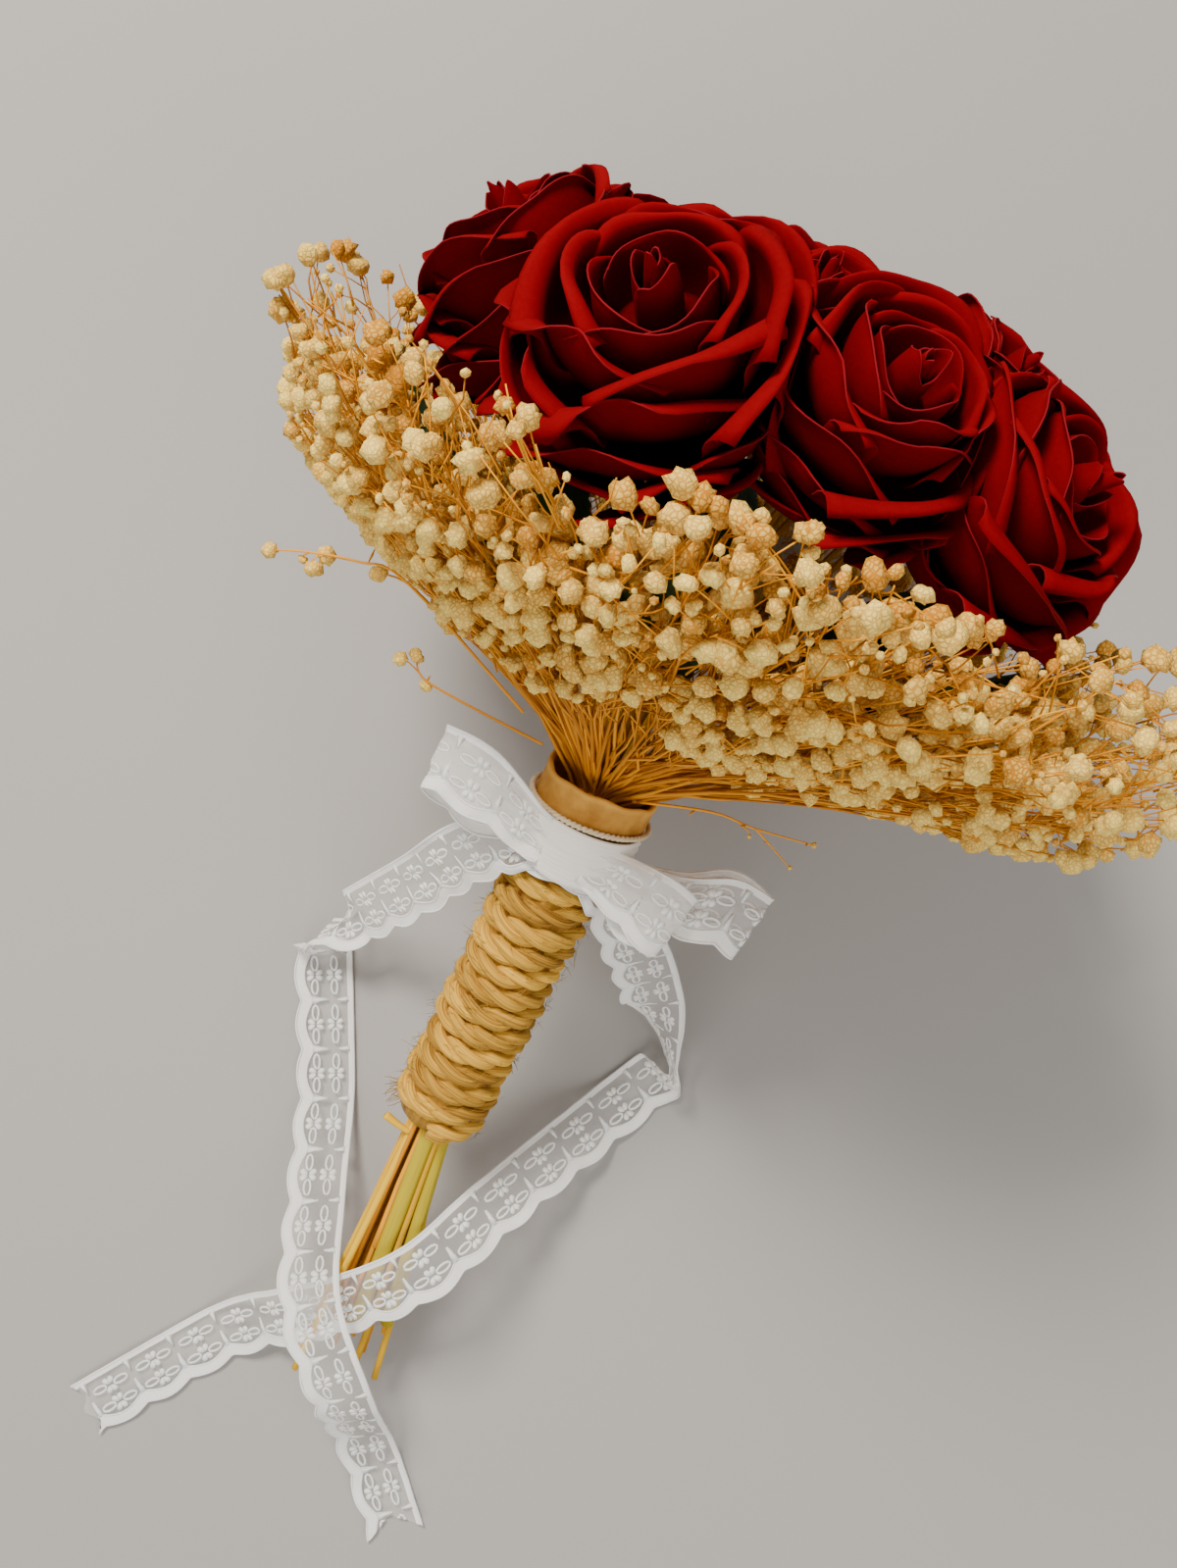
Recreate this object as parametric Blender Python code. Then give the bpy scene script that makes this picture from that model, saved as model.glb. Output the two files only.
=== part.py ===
"""Bridal bouquet of red velvet roses and dried baby's breath, lying on a table.

The roses and the baby's breath fan out of one bound handle. Jute rope wraps the
handle, a kraft collar closes its top, and a lace ribbon is tied round it in a bow.

Frame: metres, +Z up, +X across the bouquet, +Y from the stem ends to the flowers.
Everything is first modelled round the tie, the point on the handle's axis at the
collar, and then hung on one empty that brings the footprint's middle to the origin.
Bouquet coordinates (across, along, out) follow the leaning handle: along runs up the
handle to the flowers, out points away from the table.
"""
import math

import bmesh
import bpy
from mathutils import Vector

# ---- posture: how the bouquet lies -------------------------------------------------
TIE_HEIGHT = 0.101               # the tie above the table
LEAN = math.radians(21.0)        # the handle's axis above the horizontal
SETTLE_HEIGHT = 0.030            # below this, soft blossom is pressed flat by the table
TABLE_PRESS = 1.0                # how strongly it is pressed

# ---- roses -------------------------------------------------------------------------
DOME_LIMIT = 0.190               # no head reaches further from the tie
FACING_SPREAD = 1.62             # a rose turns outward more than it stands outward
BUD_HEIGHT = 0.025               # bud tip above the middle of its head
CALYX_DEPTH = 0.028              # underside of the head below its middle
HEAD_GAP = 0.0004                # clearance to the plane between two heads
HEAD_SECTORS = 15
HEAD_CONE = math.radians(46.1)   # the heads stay inside this cone round the axis
STEM_RADIUS = 0.00115
STEM_SIDES = 6
STEM_SEAT = 0.0006               # between a stem's end and the calyx
STEM_STRAIGHT = 0.022            # last stretch of a stem, square to its head
ROSE_STEM_SPLAY = (1.95, 1.30)   # the stems spread below the handle: across and up
INNER_STEM_RING = 0.00240        # radius of the ring of crown rose stems in the handle
OUTER_STEM_RING = 0.00500
# name, tie to bud tip, angle from the axis and turn round it (degrees, 0 is out), head radius
ROSES = (
    ("rose_front_left", 0.186, 32.0, -25.0, 0.0440),
    ("rose_front_right", 0.186, 29.0, 20.0, 0.0420),
    ("rose_right", 0.186, 34.0, 63.0, 0.0430),
    ("rose_left", 0.186, 32.0, -68.0, 0.0440),
    ("rose_back_right", 0.186, 33.0, 108.0, 0.0430),
    ("rose_under_right", 0.186, 33.0, 154.0, 0.0430),
    ("rose_under_left", 0.186, 33.0, -160.0, 0.0430),
    ("rose_back_left", 0.186, 33.0, -114.0, 0.0430),
    ("rose_crown_front", 0.177, 16.5, -3.0, 0.0330),
    ("rose_crown_right", 0.178, 17.0, 72.0, 0.0322),
    ("rose_crown_back_right", 0.178, 17.0, 144.0, 0.0315),
    ("rose_crown_back_left", 0.177, 17.0, -144.0, 0.0330),
    ("rose_crown_left", 0.178, 17.0, -74.0, 0.0300),
    ("rose_crown_middle", 0.181, 1.0, 180.0, 0.0330),
)
OUTER_ROSES = 8                  # the first ones of the list; the last one is the middle one

# ---- baby's breath -----------------------------------------------------------------
SPRAY_COUNT = 12
SPRAY_STEM_RADIUS = 0.0013
SPRAY_STEM_RING = 0.0076
SPRAY_STEM_SPLAY = (1.90, 1.30)
SPRAY_SQUARENESS = 0.72          # 0 is a round cloud, 1 is a square one
SPRAY_GAP = math.radians(0.45)   # half of the clearance between two sprays
SPRAY_SIDES = 10
NEAR_FLATNESS = 0.70             # how much thinner the blossom is on top than at the sides
NEAR_FADE = 0.055                # the thinning sets in over this distance from the tie
# distance from the tie, inner and outer edge as angles from the axis (degrees)
SPRAY_SECTIONS = (
    (0.016, 46.0, 59.0),
    (0.030, 47.5, 68.0),
    (0.055, 47.5, 74.0),
    (0.085, 47.5, 76.0),
    (0.120, 47.5, 73.0),
    (0.150, 47.5, 68.0),
    (0.172, 47.5, 63.0),
    (0.186, 49.0, 58.0),
)

# ---- leaves ------------------------------------------------------------------------
LEAF_LENGTH = 0.060
LEAF_HALF_WIDTH = 0.014
LEAF_THICKNESS = 0.0010
LEAF_START = 0.088               # from the tie to the leaf's base
LEAF_ANGLE = 46.85               # the leaves lie on this cone, inside the blossom
LEAF_TURNS = (-47.0, -3.0, 41.0, 86.0, 131.0, 177.0, -137.0, -92.0)

# ---- handle ------------------------------------------------------------------------
STEM_END = -0.255                # along: where the longest stems end
STEM_END_STEP = 0.006            # the cut ends differ by a few of these
HANDLE_BOTTOM = -0.141
HANDLE_TOP = -0.0055
HANDLE_SWAY = -0.0052            # the bound handle leans to the left of the flowers' axis
TAPE_INNER = 0.0090
TAPE_OUTER = 0.0093
TAPE_TOP = -0.0030
ROPE_RADIUS = 0.0042
ROPE_RING = 0.0138               # from the axis to the middle of the rope
ROPE_PITCH = 0.0088
ROPE_STEPS = 20                  # points a turn
COLLAR_BOTTOM = -0.0050
COLLAR_TOP = 0.0078
COLLAR_OUTER = 0.0200
COLLAR_INNER = 0.0177
COLLAR_BORE = 0.0099
COLLAR_FLOOR = 0.0024
CORD_RADIUS = 0.0008
CORD_ALONG = -0.0026
RING_SECTORS = 24

# ---- lace --------------------------------------------------------------------------
LACE_WIDTH = 0.024
LACE_THICKNESS = 0.0012
BAND_BOTTOM = -0.0265
BAND_TOP = -0.0060
BAND_INNER = 0.0182
BAND_OUTER = 0.0198
KNOT_CENTRE = (0.0, -0.0158, 0.0224)
KNOT_SIZE = (0.0110, 0.0098, 0.0024)
# a bow loop: start, end (bouquet coordinates), half width, half thickness at its belly
BOW_LOOPS = (
    ("bow_loop_left", (-0.0150, -0.0125, 0.0222), (-0.0535, -0.0040, 0.0172), 0.0165, 0.0042),
    ("bow_loop_right", (0.0130, -0.0160, 0.0220), (0.0435, -0.0250, 0.0210), 0.0150, 0.0036),
    ("bow_loop_back", (0.0215, -0.0150, 0.0175), (0.0680, -0.0170, 0.0030), 0.0150, 0.0030),
)
# A tail falls off the handle, lands, turns over at a fold, and crosses the stem ends.
# Points are across, forward and up from the point on the table below the tie.
TAIL_LEFT_FALL = (
    (-0.0100, -0.0226, 0.1138), (-0.0232, -0.0272, 0.1045), (-0.0340, -0.0380, 0.0880),
    (-0.0440, -0.0535, 0.0640), (-0.0600, -0.0747, 0.0330), (-0.0711, -0.0890, 0.0110),
    (-0.0775, -0.0960, 0.0012),
)
TAIL_LEFT_RUN = (
    (-0.0520, -0.1490, 0.0012), (-0.0350, -0.1880, 0.0190), (-0.0190, -0.2170, 0.0430),
    (0.0000, -0.2440, 0.0400), (0.0190, -0.2740, 0.0060), (0.0490, -0.3060, 0.0008),
)
TAIL_RIGHT_FALL = (
    (0.0100, -0.0252, 0.1127), (0.0215, -0.0290, 0.1020), (0.0335, -0.0415, 0.0805),
    (0.0483, -0.0563, 0.0570), (0.0640, -0.0730, 0.0270), (0.0730, -0.0830, 0.0080),
    (0.0775, -0.0890, 0.0012),
)
TAIL_RIGHT_RUN = (
    (0.0540, -0.1240, 0.0030), (0.0320, -0.1620, 0.0330), (0.0150, -0.1920, 0.0470),
    (-0.0050, -0.2210, 0.0355), (-0.0250, -0.2450, 0.0170), (-0.0460, -0.2660, 0.0020),
    (-0.0855, -0.3140, 0.0008),
)
TAIL_STEPS = 4                   # samples between two route points

# ---- colours: red, green, blue, then roughness -------------------------------------
FINISHES = {
    "velvet_petal": (0.27, 0.004, 0.008, 0.85),
    "rose_stem": (0.36, 0.30, 0.06, 0.70),
    "dried_blossom": (0.80, 0.62, 0.30, 0.90),
    "leaf": (0.02, 0.07, 0.015, 0.65),
    "binding_tape": (0.30, 0.20, 0.09, 0.80),
    "jute_rope": (0.47, 0.27, 0.10, 0.95),
    "kraft_collar": (0.42, 0.24, 0.11, 0.90),
    "cotton_cord": (0.72, 0.60, 0.42, 0.90),
    "white_lace": (0.85, 0.85, 0.86, 0.85),
}


def clear_scene():
    """Remove every object, so that the model starts from nothing."""
    for obj in list(bpy.data.objects):
        bpy.data.objects.remove(obj, do_unlink=True)


def make_material(name):
    """Return the Principled material of one finish."""
    red, green, blue, roughness = FINISHES[name]
    material = bpy.data.materials.new(name)
    material.use_nodes = True
    shader = material.node_tree.nodes["Principled BSDF"]
    shader.inputs["Base Color"].default_value = (red, green, blue, 1.0)
    shader.inputs["Roughness"].default_value = roughness
    shader.inputs["Metallic"].default_value = 0.0
    material.diffuse_color = (red, green, blue, 1.0)
    return material


def on_table(across, forward, up):
    """A point given from the spot on the table below the tie."""
    return Vector((across, forward, up))


def in_bouquet(across, along, out):
    """A point given in bouquet coordinates, which lean with the handle."""
    if along < HANDLE_BOTTOM:
        across += HANDLE_SWAY * (along - STEM_END) / (HANDLE_BOTTOM - STEM_END)
    elif along < 0.0:
        across += HANDLE_SWAY * along / HANDLE_BOTTOM
    forward = along * math.cos(LEAN) - out * math.sin(LEAN)
    up = along * math.sin(LEAN) + out * math.cos(LEAN)
    return Vector((across, forward, TIE_HEIGHT + up))


def polar(distance, angle, turn):
    """A point at a distance from the tie, an angle from the axis and a turn round it."""
    radius = distance * math.sin(angle)
    return in_bouquet(radius * math.sin(turn), distance * math.cos(angle), radius * math.cos(turn))


def facing(angle, turn):
    """The unit direction at an angle from the axis and a turn round it."""
    return polar(1.0, angle, turn) - in_bouquet(0.0, 0.0, 0.0)


def settle(point):
    """Press soft blossom down onto the table without letting anything cross."""
    if point.z >= SETTLE_HEIGHT:
        return point
    depth = (SETTLE_HEIGHT - point.z) / SETTLE_HEIGHT
    height = SETTLE_HEIGHT * math.exp(-TABLE_PRESS * depth)
    return Vector((point.x, point.y, height))


def smooth_route(points, steps):
    """Sample a Catmull-Rom curve through the route's points."""
    count = len(points)
    route = []
    for index in range(count - 1):
        before = points[max(index - 1, 0)]
        start = points[index]
        end = points[index + 1]
        after = points[min(index + 2, count - 1)]
        for step in range(steps):
            t = step / steps
            route.append(0.5 * (
                2.0 * start + (end - before) * t
                + (2.0 * before - 5.0 * start + 4.0 * end - after) * t ** 2
                + (3.0 * start - before - 3.0 * end + after) * t ** 3))
    route.append(points[-1].copy())
    return route


def add_object(name, mesh, material, parent, smooth=True):
    """Put a finished mesh in the scene under the bouquet's empty."""
    mesh.materials.append(material)
    if smooth:
        mesh.shade_smooth()
        mesh.set_sharp_from_angle(angle=math.radians(50.0))
    obj = bpy.data.objects.new(name, mesh)
    bpy.context.collection.objects.link(obj)
    obj.parent = parent
    return obj


def loft(name, rings, material, parent, smooth=True):
    """Skin a row of rings that have equally many points, and close both ends."""
    bm = bmesh.new()
    rows = [[bm.verts.new(point) for point in ring] for ring in rings]
    sides = len(rings[0])
    for lower, upper in zip(rows, rows[1:]):
        for k in range(sides):
            after = (k + 1) % sides
            bm.faces.new((lower[k], lower[after], upper[after], upper[k]))
    bm.faces.new(list(reversed(rows[0])))
    bm.faces.new(rows[-1])
    bmesh.ops.triangulate(bm, faces=bm.faces[:])
    bmesh.ops.recalc_face_normals(bm, faces=bm.faces[:])
    if bm.calc_volume(signed=True) < 0.0:
        bmesh.ops.reverse_faces(bm, faces=bm.faces[:])
    mesh = bpy.data.meshes.new(name)
    bm.to_mesh(mesh)
    bm.free()
    return add_object(name, mesh, material, parent, smooth)


def circle_ring(centre, side, up, radius, sides):
    """Points of a circle round a centre, in the plane of side and up."""
    ring = []
    for k in range(sides):
        angle = 2.0 * math.pi * k / sides
        ring.append(centre + side * (radius * math.cos(angle)) + up * (radius * math.sin(angle)))
    return ring


def tube_rings(route, radius, sides, first_side):
    """Rings of a round tube along a route, turned as little as possible."""
    rings = []
    side = first_side
    for index, point in enumerate(route):
        before = route[max(index - 1, 0)]
        after = route[min(index + 1, len(route) - 1)]
        tangent = (after - before).normalized()
        side = (side - tangent * side.dot(tangent)).normalized()
        rings.append(circle_ring(point, side, tangent.cross(side), radius, sides))
    return rings


def turned_ring(name, profile, material, parent):
    """Turn a closed profile of (radius, along) points round the handle's axis."""
    bm = bmesh.new()
    rows = []
    for k in range(RING_SECTORS):
        turn = 2.0 * math.pi * k / RING_SECTORS
        rows.append([
            bm.verts.new(in_bouquet(radius * math.sin(turn), along, radius * math.cos(turn)))
            for radius, along in profile])
    count = len(profile)
    for k in range(RING_SECTORS):
        here = rows[k]
        there = rows[(k + 1) % RING_SECTORS]
        for j in range(count):
            after = (j + 1) % count
            bm.faces.new((here[j], here[after], there[after], there[j]))
    bmesh.ops.triangulate(bm, faces=bm.faces[:])
    if bm.calc_volume(signed=True) < 0.0:
        bmesh.ops.reverse_faces(bm, faces=bm.faces[:])
    mesh = bpy.data.meshes.new(name)
    bm.to_mesh(mesh)
    bm.free()
    return add_object(name, mesh, material, parent)


# ---- roses -------------------------------------------------------------------------

def rose_places():
    """Each rose's name, middle, facing direction, radius, ring in the handle and turn."""
    places = []
    for index, (name, distance, angle, turn, radius) in enumerate(ROSES):
        angle = math.radians(angle)
        turn = math.radians(turn)
        normal = facing(angle * FACING_SPREAD, turn)
        middle = polar(distance, angle, turn) - normal * BUD_HEIGHT
        ring = OUTER_STEM_RING if index < OUTER_ROSES else INNER_STEM_RING
        if index == len(ROSES) - 1:
            ring = 0.0
        places.append((name, middle, normal, radius, ring, turn))
    return places


def angle_from_axis(point):
    """The angle between the handle's axis and the line from the tie to a point."""
    tie = in_bouquet(0.0, 0.0, 0.0)
    axis = in_bouquet(0.0, 1.0, 0.0) - tie
    return axis.angle(point - tie)


def head_may_reach(point):
    """Whether a point is inside the dome's outline."""
    distance = (point - in_bouquet(0.0, 0.0, 0.0)).length
    return angle_from_axis(point) <= HEAD_CONE and distance <= DOME_LIMIT


def head_reach(tilt, radius):
    """How far a head reaches from its middle, at a tilt from its facing direction."""
    knots = (
        (0.0, BUD_HEIGHT), (20.0, 0.72 * radius), (42.0, 0.93 * radius),
        (62.0, 1.00 * radius), (90.0, 0.98 * radius), (120.0, 0.90 * radius),
        (150.0, 1.02 * CALYX_DEPTH), (180.0, CALYX_DEPTH))
    degrees = math.degrees(tilt)
    for (start, low), (end, high) in zip(knots, knots[1:]):
        if degrees <= end:
            share = (degrees - start) / (end - start)
            share = share * share * (3.0 - 2.0 * share)
            return low + (high - low) * share
    return CALYX_DEPTH


def build_rose_head(place, places, material, parent):
    """One rose head: a ruffled cup, pressed flat where it meets its neighbours."""
    name, middle, normal, radius, _ring, turn = place
    side = normal.orthogonal().normalized()
    other = normal.cross(side)
    planes = []
    for neighbour in places:
        apart = neighbour[1] - middle
        if neighbour[0] != name:
            planes.append((apart.normalized(), apart.length / 2.0 - HEAD_GAP))
    tilts = [math.radians(t) for t in (18.0, 34.0, 50.0, 68.0, 88.0, 108.0, 130.0, 154.0)]

    def surface_point(tilt, sector):
        swirl = turn + tilt * 0.9
        angle = 2.0 * math.pi * sector / HEAD_SECTORS + swirl
        direction = normal * math.cos(tilt) + (
            side * math.cos(angle) + other * math.sin(angle)) * math.sin(tilt)
        ruffle = 1.0 + 0.035 * math.cos(5.0 * angle - swirl) * math.sin(tilt) ** 2
        reach = head_reach(tilt, radius) * ruffle
        for plane, distance in planes:
            towards = direction.dot(plane)
            if towards > 1e-6:
                reach = min(reach, distance / towards)
        while not head_may_reach(middle + direction * reach):
            reach *= 0.98
        return settle(middle + direction * reach)

    bm = bmesh.new()
    top = bm.verts.new(surface_point(0.0, 0))
    bottom = bm.verts.new(surface_point(math.pi, 0))
    rows = [[bm.verts.new(surface_point(t, k)) for k in range(HEAD_SECTORS)] for t in tilts]
    for k in range(HEAD_SECTORS):
        after = (k + 1) % HEAD_SECTORS
        bm.faces.new((top, rows[0][k], rows[0][after]))
        bm.faces.new((bottom, rows[-1][after], rows[-1][k]))
        for upper, lower in zip(rows, rows[1:]):
            bm.faces.new((upper[k], lower[k], lower[after], upper[after]))
    bmesh.ops.triangulate(bm, faces=bm.faces[:])
    if bm.calc_volume(signed=True) < 0.0:
        bmesh.ops.reverse_faces(bm, faces=bm.faces[:])
    mesh = bpy.data.meshes.new(name)
    bm.to_mesh(mesh)
    bm.free()
    return add_object(name, mesh, material, parent)


def build_rose_stem(index, place, material, parent):
    """A rose's stem: straight through the handle, then out to the head's underside."""
    name, middle, normal, _radius, ring, turn = place
    calyx = middle - normal * (CALYX_DEPTH + STEM_SEAT)
    foot = middle - normal * (CALYX_DEPTH + STEM_STRAIGHT)
    end = STEM_END + STEM_END_STEP * (index * 5 % 7)
    sideways, upward = ROSE_STEM_SPLAY
    ends = in_bouquet(
        ring * sideways * math.sin(turn), end, ring * upward * math.cos(turn))
    bottom = in_bouquet(ring * math.sin(turn), HANDLE_BOTTOM, ring * math.cos(turn))
    tie = in_bouquet(ring * math.sin(turn), 0.001, ring * math.cos(turn))
    bend = smooth_route([tie, tie.lerp(foot, 0.48), foot, calyx], 3)
    route = [ends, bottom, tie.lerp(bottom, 0.5)] + [settle(point) for point in bend]
    first_side = in_bouquet(1.0, 0.0, 0.0) - in_bouquet(0.0, 0.0, 0.0)
    rings = tube_rings(route, STEM_RADIUS, STEM_SIDES, first_side)
    return loft(name.replace("rose_", "rose_stem_"), rings, material, parent)


# ---- baby's breath -----------------------------------------------------------------

def build_spray(index, material, parent):
    """One spray: a stem through the handle that opens into a cloud of blossom."""
    turn = 2.0 * math.pi * (index + 0.5) / SPRAY_COUNT
    radial = facing(math.pi / 2.0, turn)
    across = facing(math.pi / 2.0, turn + math.pi / 2.0)
    end = STEM_END + STEM_END_STEP * (index * 3 % 5)
    rings = []
    straight = ((end, SPRAY_STEM_SPLAY), (HANDLE_BOTTOM, (1.0, 1.0)),
                (HANDLE_BOTTOM / 2.0, (1.0, 1.0)), (-0.001, (1.0, 1.0)))
    for along, (sideways, upward) in straight:
        centre = in_bouquet(
            SPRAY_STEM_RING * sideways * math.sin(turn), along,
            SPRAY_STEM_RING * upward * math.cos(turn))
        rings.append(circle_ring(centre, radial, across, SPRAY_STEM_RADIUS, SPRAY_SIDES))
    half_turn = math.pi / SPRAY_COUNT - SPRAY_GAP
    flatness = NEAR_FLATNESS * max(0.0, math.cos(turn))
    for distance, inner, outer in SPRAY_SECTIONS:
        outer -= (outer - inner) * flatness * min(1.0, distance / NEAR_FADE)
        middle = math.radians((inner + outer) / 2.0)
        half = math.radians((outer - inner) / 2.0)
        ring = []
        for k in range(SPRAY_SIDES):
            angle = 2.0 * math.pi * k / SPRAY_SIDES
            square = 1.0 / max(abs(math.cos(angle)), abs(math.sin(angle)))
            blend = SPRAY_SQUARENESS * square + 1.0 - SPRAY_SQUARENESS
            depth = max(-1.0, min(1.0, math.cos(angle) * blend))
            width = max(-1.0, min(1.0, math.sin(angle) * blend))
            fullness = 0.55 + 0.45 * min(1.0, distance / SPRAY_SECTIONS[1][0])
            ring.append(settle(polar(
                distance, middle + half * depth, turn + half_turn * width * fullness)))
        rings.append(ring)
    return loft(f"blossom_spray_{index + 1:02d}", rings, material, parent)


# ---- leaves ------------------------------------------------------------------------

def build_leaf(index, turn, material, parent):
    """A pointed rose leaf that lies between the rose heads and the blossom."""
    turn = math.radians(turn)
    angle = math.radians(LEAF_ANGLE)
    skin = LEAF_THICKNESS / (LEAF_START + LEAF_LENGTH / 2.0)
    rings = []
    steps = 7
    for step in range(steps + 1):
        share = step / steps
        distance = LEAF_START + LEAF_LENGTH * share
        outline = math.sin(math.pi * (0.06 + 0.90 * share) ** 0.85)
        half = LEAF_HALF_WIDTH * max(outline, 0.06) / (distance * math.sin(angle))
        ring = []
        for width, side in ((-1, -1), (0, -1), (1, -1), (1, 1), (0, 1), (-1, 1)):
            keel = -0.35 * skin * (1 - abs(width))
            ring.append(settle(polar(
                distance, angle + skin / 2.0 * side + keel, turn + half * width)))
        rings.append(ring)
    return loft(f"leaf_{index + 1:02d}", rings, material, parent, smooth=False)


# ---- handle ------------------------------------------------------------------------

def build_handle(materials, parent):
    """The binding tape, the jute rope wound round it, the collar and its cord."""
    tape = ((TAPE_INNER, HANDLE_BOTTOM), (TAPE_OUTER, HANDLE_BOTTOM),
            (TAPE_OUTER, TAPE_TOP), (TAPE_INNER, TAPE_TOP))
    turned_ring("binding_tape", tape, materials["binding_tape"], parent)

    first = HANDLE_BOTTOM + ROPE_RADIUS
    turns = (HANDLE_TOP - ROPE_RADIUS - first) / ROPE_PITCH
    count = int(turns * ROPE_STEPS)
    route = []
    for step in range(count + 1):
        turn = 2.0 * math.pi * step / ROPE_STEPS
        along = first + ROPE_PITCH * step / ROPE_STEPS
        route.append(in_bouquet(ROPE_RING * math.sin(turn), along, ROPE_RING * math.cos(turn)))
    axis = in_bouquet(0.0, 1.0, 0.0) - in_bouquet(0.0, 0.0, 0.0)
    loft("jute_rope", tube_rings(route, ROPE_RADIUS, 6, axis), materials["jute_rope"], parent)

    lip = 0.0008
    collar = (
        (COLLAR_BORE, COLLAR_BOTTOM), (COLLAR_OUTER - lip, COLLAR_BOTTOM),
        (COLLAR_OUTER, COLLAR_BOTTOM + lip), (COLLAR_OUTER, COLLAR_TOP - lip),
        (COLLAR_OUTER - lip, COLLAR_TOP), (COLLAR_INNER + lip, COLLAR_TOP),
        (COLLAR_INNER, COLLAR_TOP - lip), (COLLAR_INNER, COLLAR_BOTTOM + COLLAR_FLOOR),
        (COLLAR_BORE, COLLAR_BOTTOM + COLLAR_FLOOR))
    turned_ring("kraft_collar", collar, materials["kraft_collar"], parent)

    middle = COLLAR_OUTER + 0.0003 + CORD_RADIUS
    cord = [(middle + CORD_RADIUS * math.cos(math.pi * k / 3.0),
             CORD_ALONG + CORD_RADIUS * math.sin(math.pi * k / 3.0)) for k in range(6)]
    turned_ring("collar_cord", cord, materials["cotton_cord"], parent)


# ---- lace --------------------------------------------------------------------------

def build_bow(material, parent):
    """The gathered band round the handle, the knot and the three loops."""
    band = ((BAND_INNER, BAND_BOTTOM), (BAND_OUTER, BAND_BOTTOM),
            (BAND_OUTER, BAND_TOP), (BAND_INNER, BAND_TOP))
    turned_ring("lace_band", band, material, parent)

    across, along, out = KNOT_CENTRE
    wide, tall, thick = KNOT_SIZE
    rings = []
    for share in (-1.0, -0.75, 0.0, 0.75, 1.0):
        size = 0.55 + 0.45 * math.sqrt(1.0 - share * share)
        rings.append([in_bouquet(across + wide * share,
                                 along + tall * size * math.cos(math.pi * k / 4.0),
                                 out + thick * size * math.sin(math.pi * k / 4.0))
                      for k in range(8)])
    loft("bow_knot", rings, material, parent)

    for name, start, end, half_width, half_thickness in BOW_LOOPS:
        start = in_bouquet(*start)
        end = in_bouquet(*end)
        run = end - start
        out_way = in_bouquet(0.0, 0.0, 1.0) - in_bouquet(0.0, 0.0, 0.0)
        width_way = out_way.cross(run).normalized()
        thick_way = run.cross(width_way).normalized()
        rings = []
        for share in (0.0, 0.12, 0.30, 0.52, 0.74, 0.90, 1.0):
            belly = 0.30 + 0.70 * math.sin(math.pi * min(1.0, 0.55 * share + 0.05) / 1.2)
            close = math.sqrt(max(0.0, 1.0 - max(0.0, (share - 0.74) / 0.30) ** 2))
            centre = start + run * share
            rings.append([
                centre + width_way * (half_width * belly * (0.55 + 0.45 * close) * math.cos(a))
                + thick_way * (half_thickness * belly * close * math.sin(a))
                for a in (math.pi * k / 5.0 for k in range(10))])
        loft(name, rings, material, parent)


def build_tail(name, fall, run, material, parent):
    """A ribbon tail: it falls off the handle, turns at a fold and runs to its cut end."""
    fall = smooth_route([on_table(*point) for point in fall], TAIL_STEPS)
    run = smooth_route([fall[-1]] + [on_table(*point) for point in run], TAIL_STEPS)[1:]
    route = fall + run
    fold = len(fall) - 1
    up = Vector((0.0, 0.0, 1.0))
    off_handle = in_bouquet(0.0, 0.0, 1.0) - in_bouquet(0.0, 0.0, 0.0)
    rings = []
    for index, point in enumerate(route):
        if index != fold and abs(index - fold) < 2:
            continue
        level = min(1.0, index / (0.6 * fold))
        above = off_handle.lerp(up, level).normalized()
        arriving = (point - route[max(index - 1, 0)])
        leaving = (route[min(index + 1, len(route) - 1)] - point)
        arriving = (arriving if arriving.length > 0.0 else leaving).normalized()
        leaving = (leaving if leaving.length > 0.0 else arriving).normalized()
        side = above.cross(arriving + leaving).normalized()
        flat_arriving = Vector((arriving.x, arriving.y, 0.0)).normalized()
        mitre = max(0.6, abs(up.cross(flat_arriving).dot(side))) if index == fold else 1.0
        half = side * (LACE_WIDTH / 2.0 / mitre)
        face = (arriving + leaving).normalized().cross(side)
        face = face if face.z > 0.0 else -face
        skin = face * (LACE_THICKNESS / 2.0)
        ring = [point + half + skin, point - half + skin, point - half - skin, point + half - skin]
        lowest = min(corner.z for corner in ring)
        lift = max(0.0, -lowest)
        rings.append([corner + up * lift for corner in ring])
    loft(name, rings, material, parent, smooth=False)


def stand_on_origin(parent):
    """Bring the middle of the footprint to the origin and the lowest point to z = 0."""
    bpy.context.view_layer.update()
    corners = []
    for obj in parent.children:
        corners.extend(obj.matrix_world @ vertex.co for vertex in obj.data.vertices)
    middle_x = (min(c.x for c in corners) + max(c.x for c in corners)) / 2.0
    middle_y = (min(c.y for c in corners) + max(c.y for c in corners)) / 2.0
    parent.location = (-middle_x, -middle_y, -min(c.z for c in corners))


def main():
    """Build every piece of the bouquet."""
    clear_scene()
    materials = {name: make_material(name) for name in FINISHES}
    parent = bpy.data.objects.new("bouquet", None)
    bpy.context.collection.objects.link(parent)
    places = rose_places()
    for index, place in enumerate(places):
        build_rose_head(place, places, materials["velvet_petal"], parent)
        build_rose_stem(index, place, materials["rose_stem"], parent)
    for index in range(SPRAY_COUNT):
        build_spray(index, materials["dried_blossom"], parent)
    for index, turn in enumerate(LEAF_TURNS):
        build_leaf(index, turn, materials["leaf"], parent)
    build_handle(materials, parent)
    build_bow(materials["white_lace"], parent)
    build_tail("lace_tail_left", TAIL_LEFT_FALL, TAIL_LEFT_RUN, materials["white_lace"], parent)
    build_tail("lace_tail_right", TAIL_RIGHT_FALL, TAIL_RIGHT_RUN, materials["white_lace"], parent)
    stand_on_origin(parent)


main()
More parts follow.
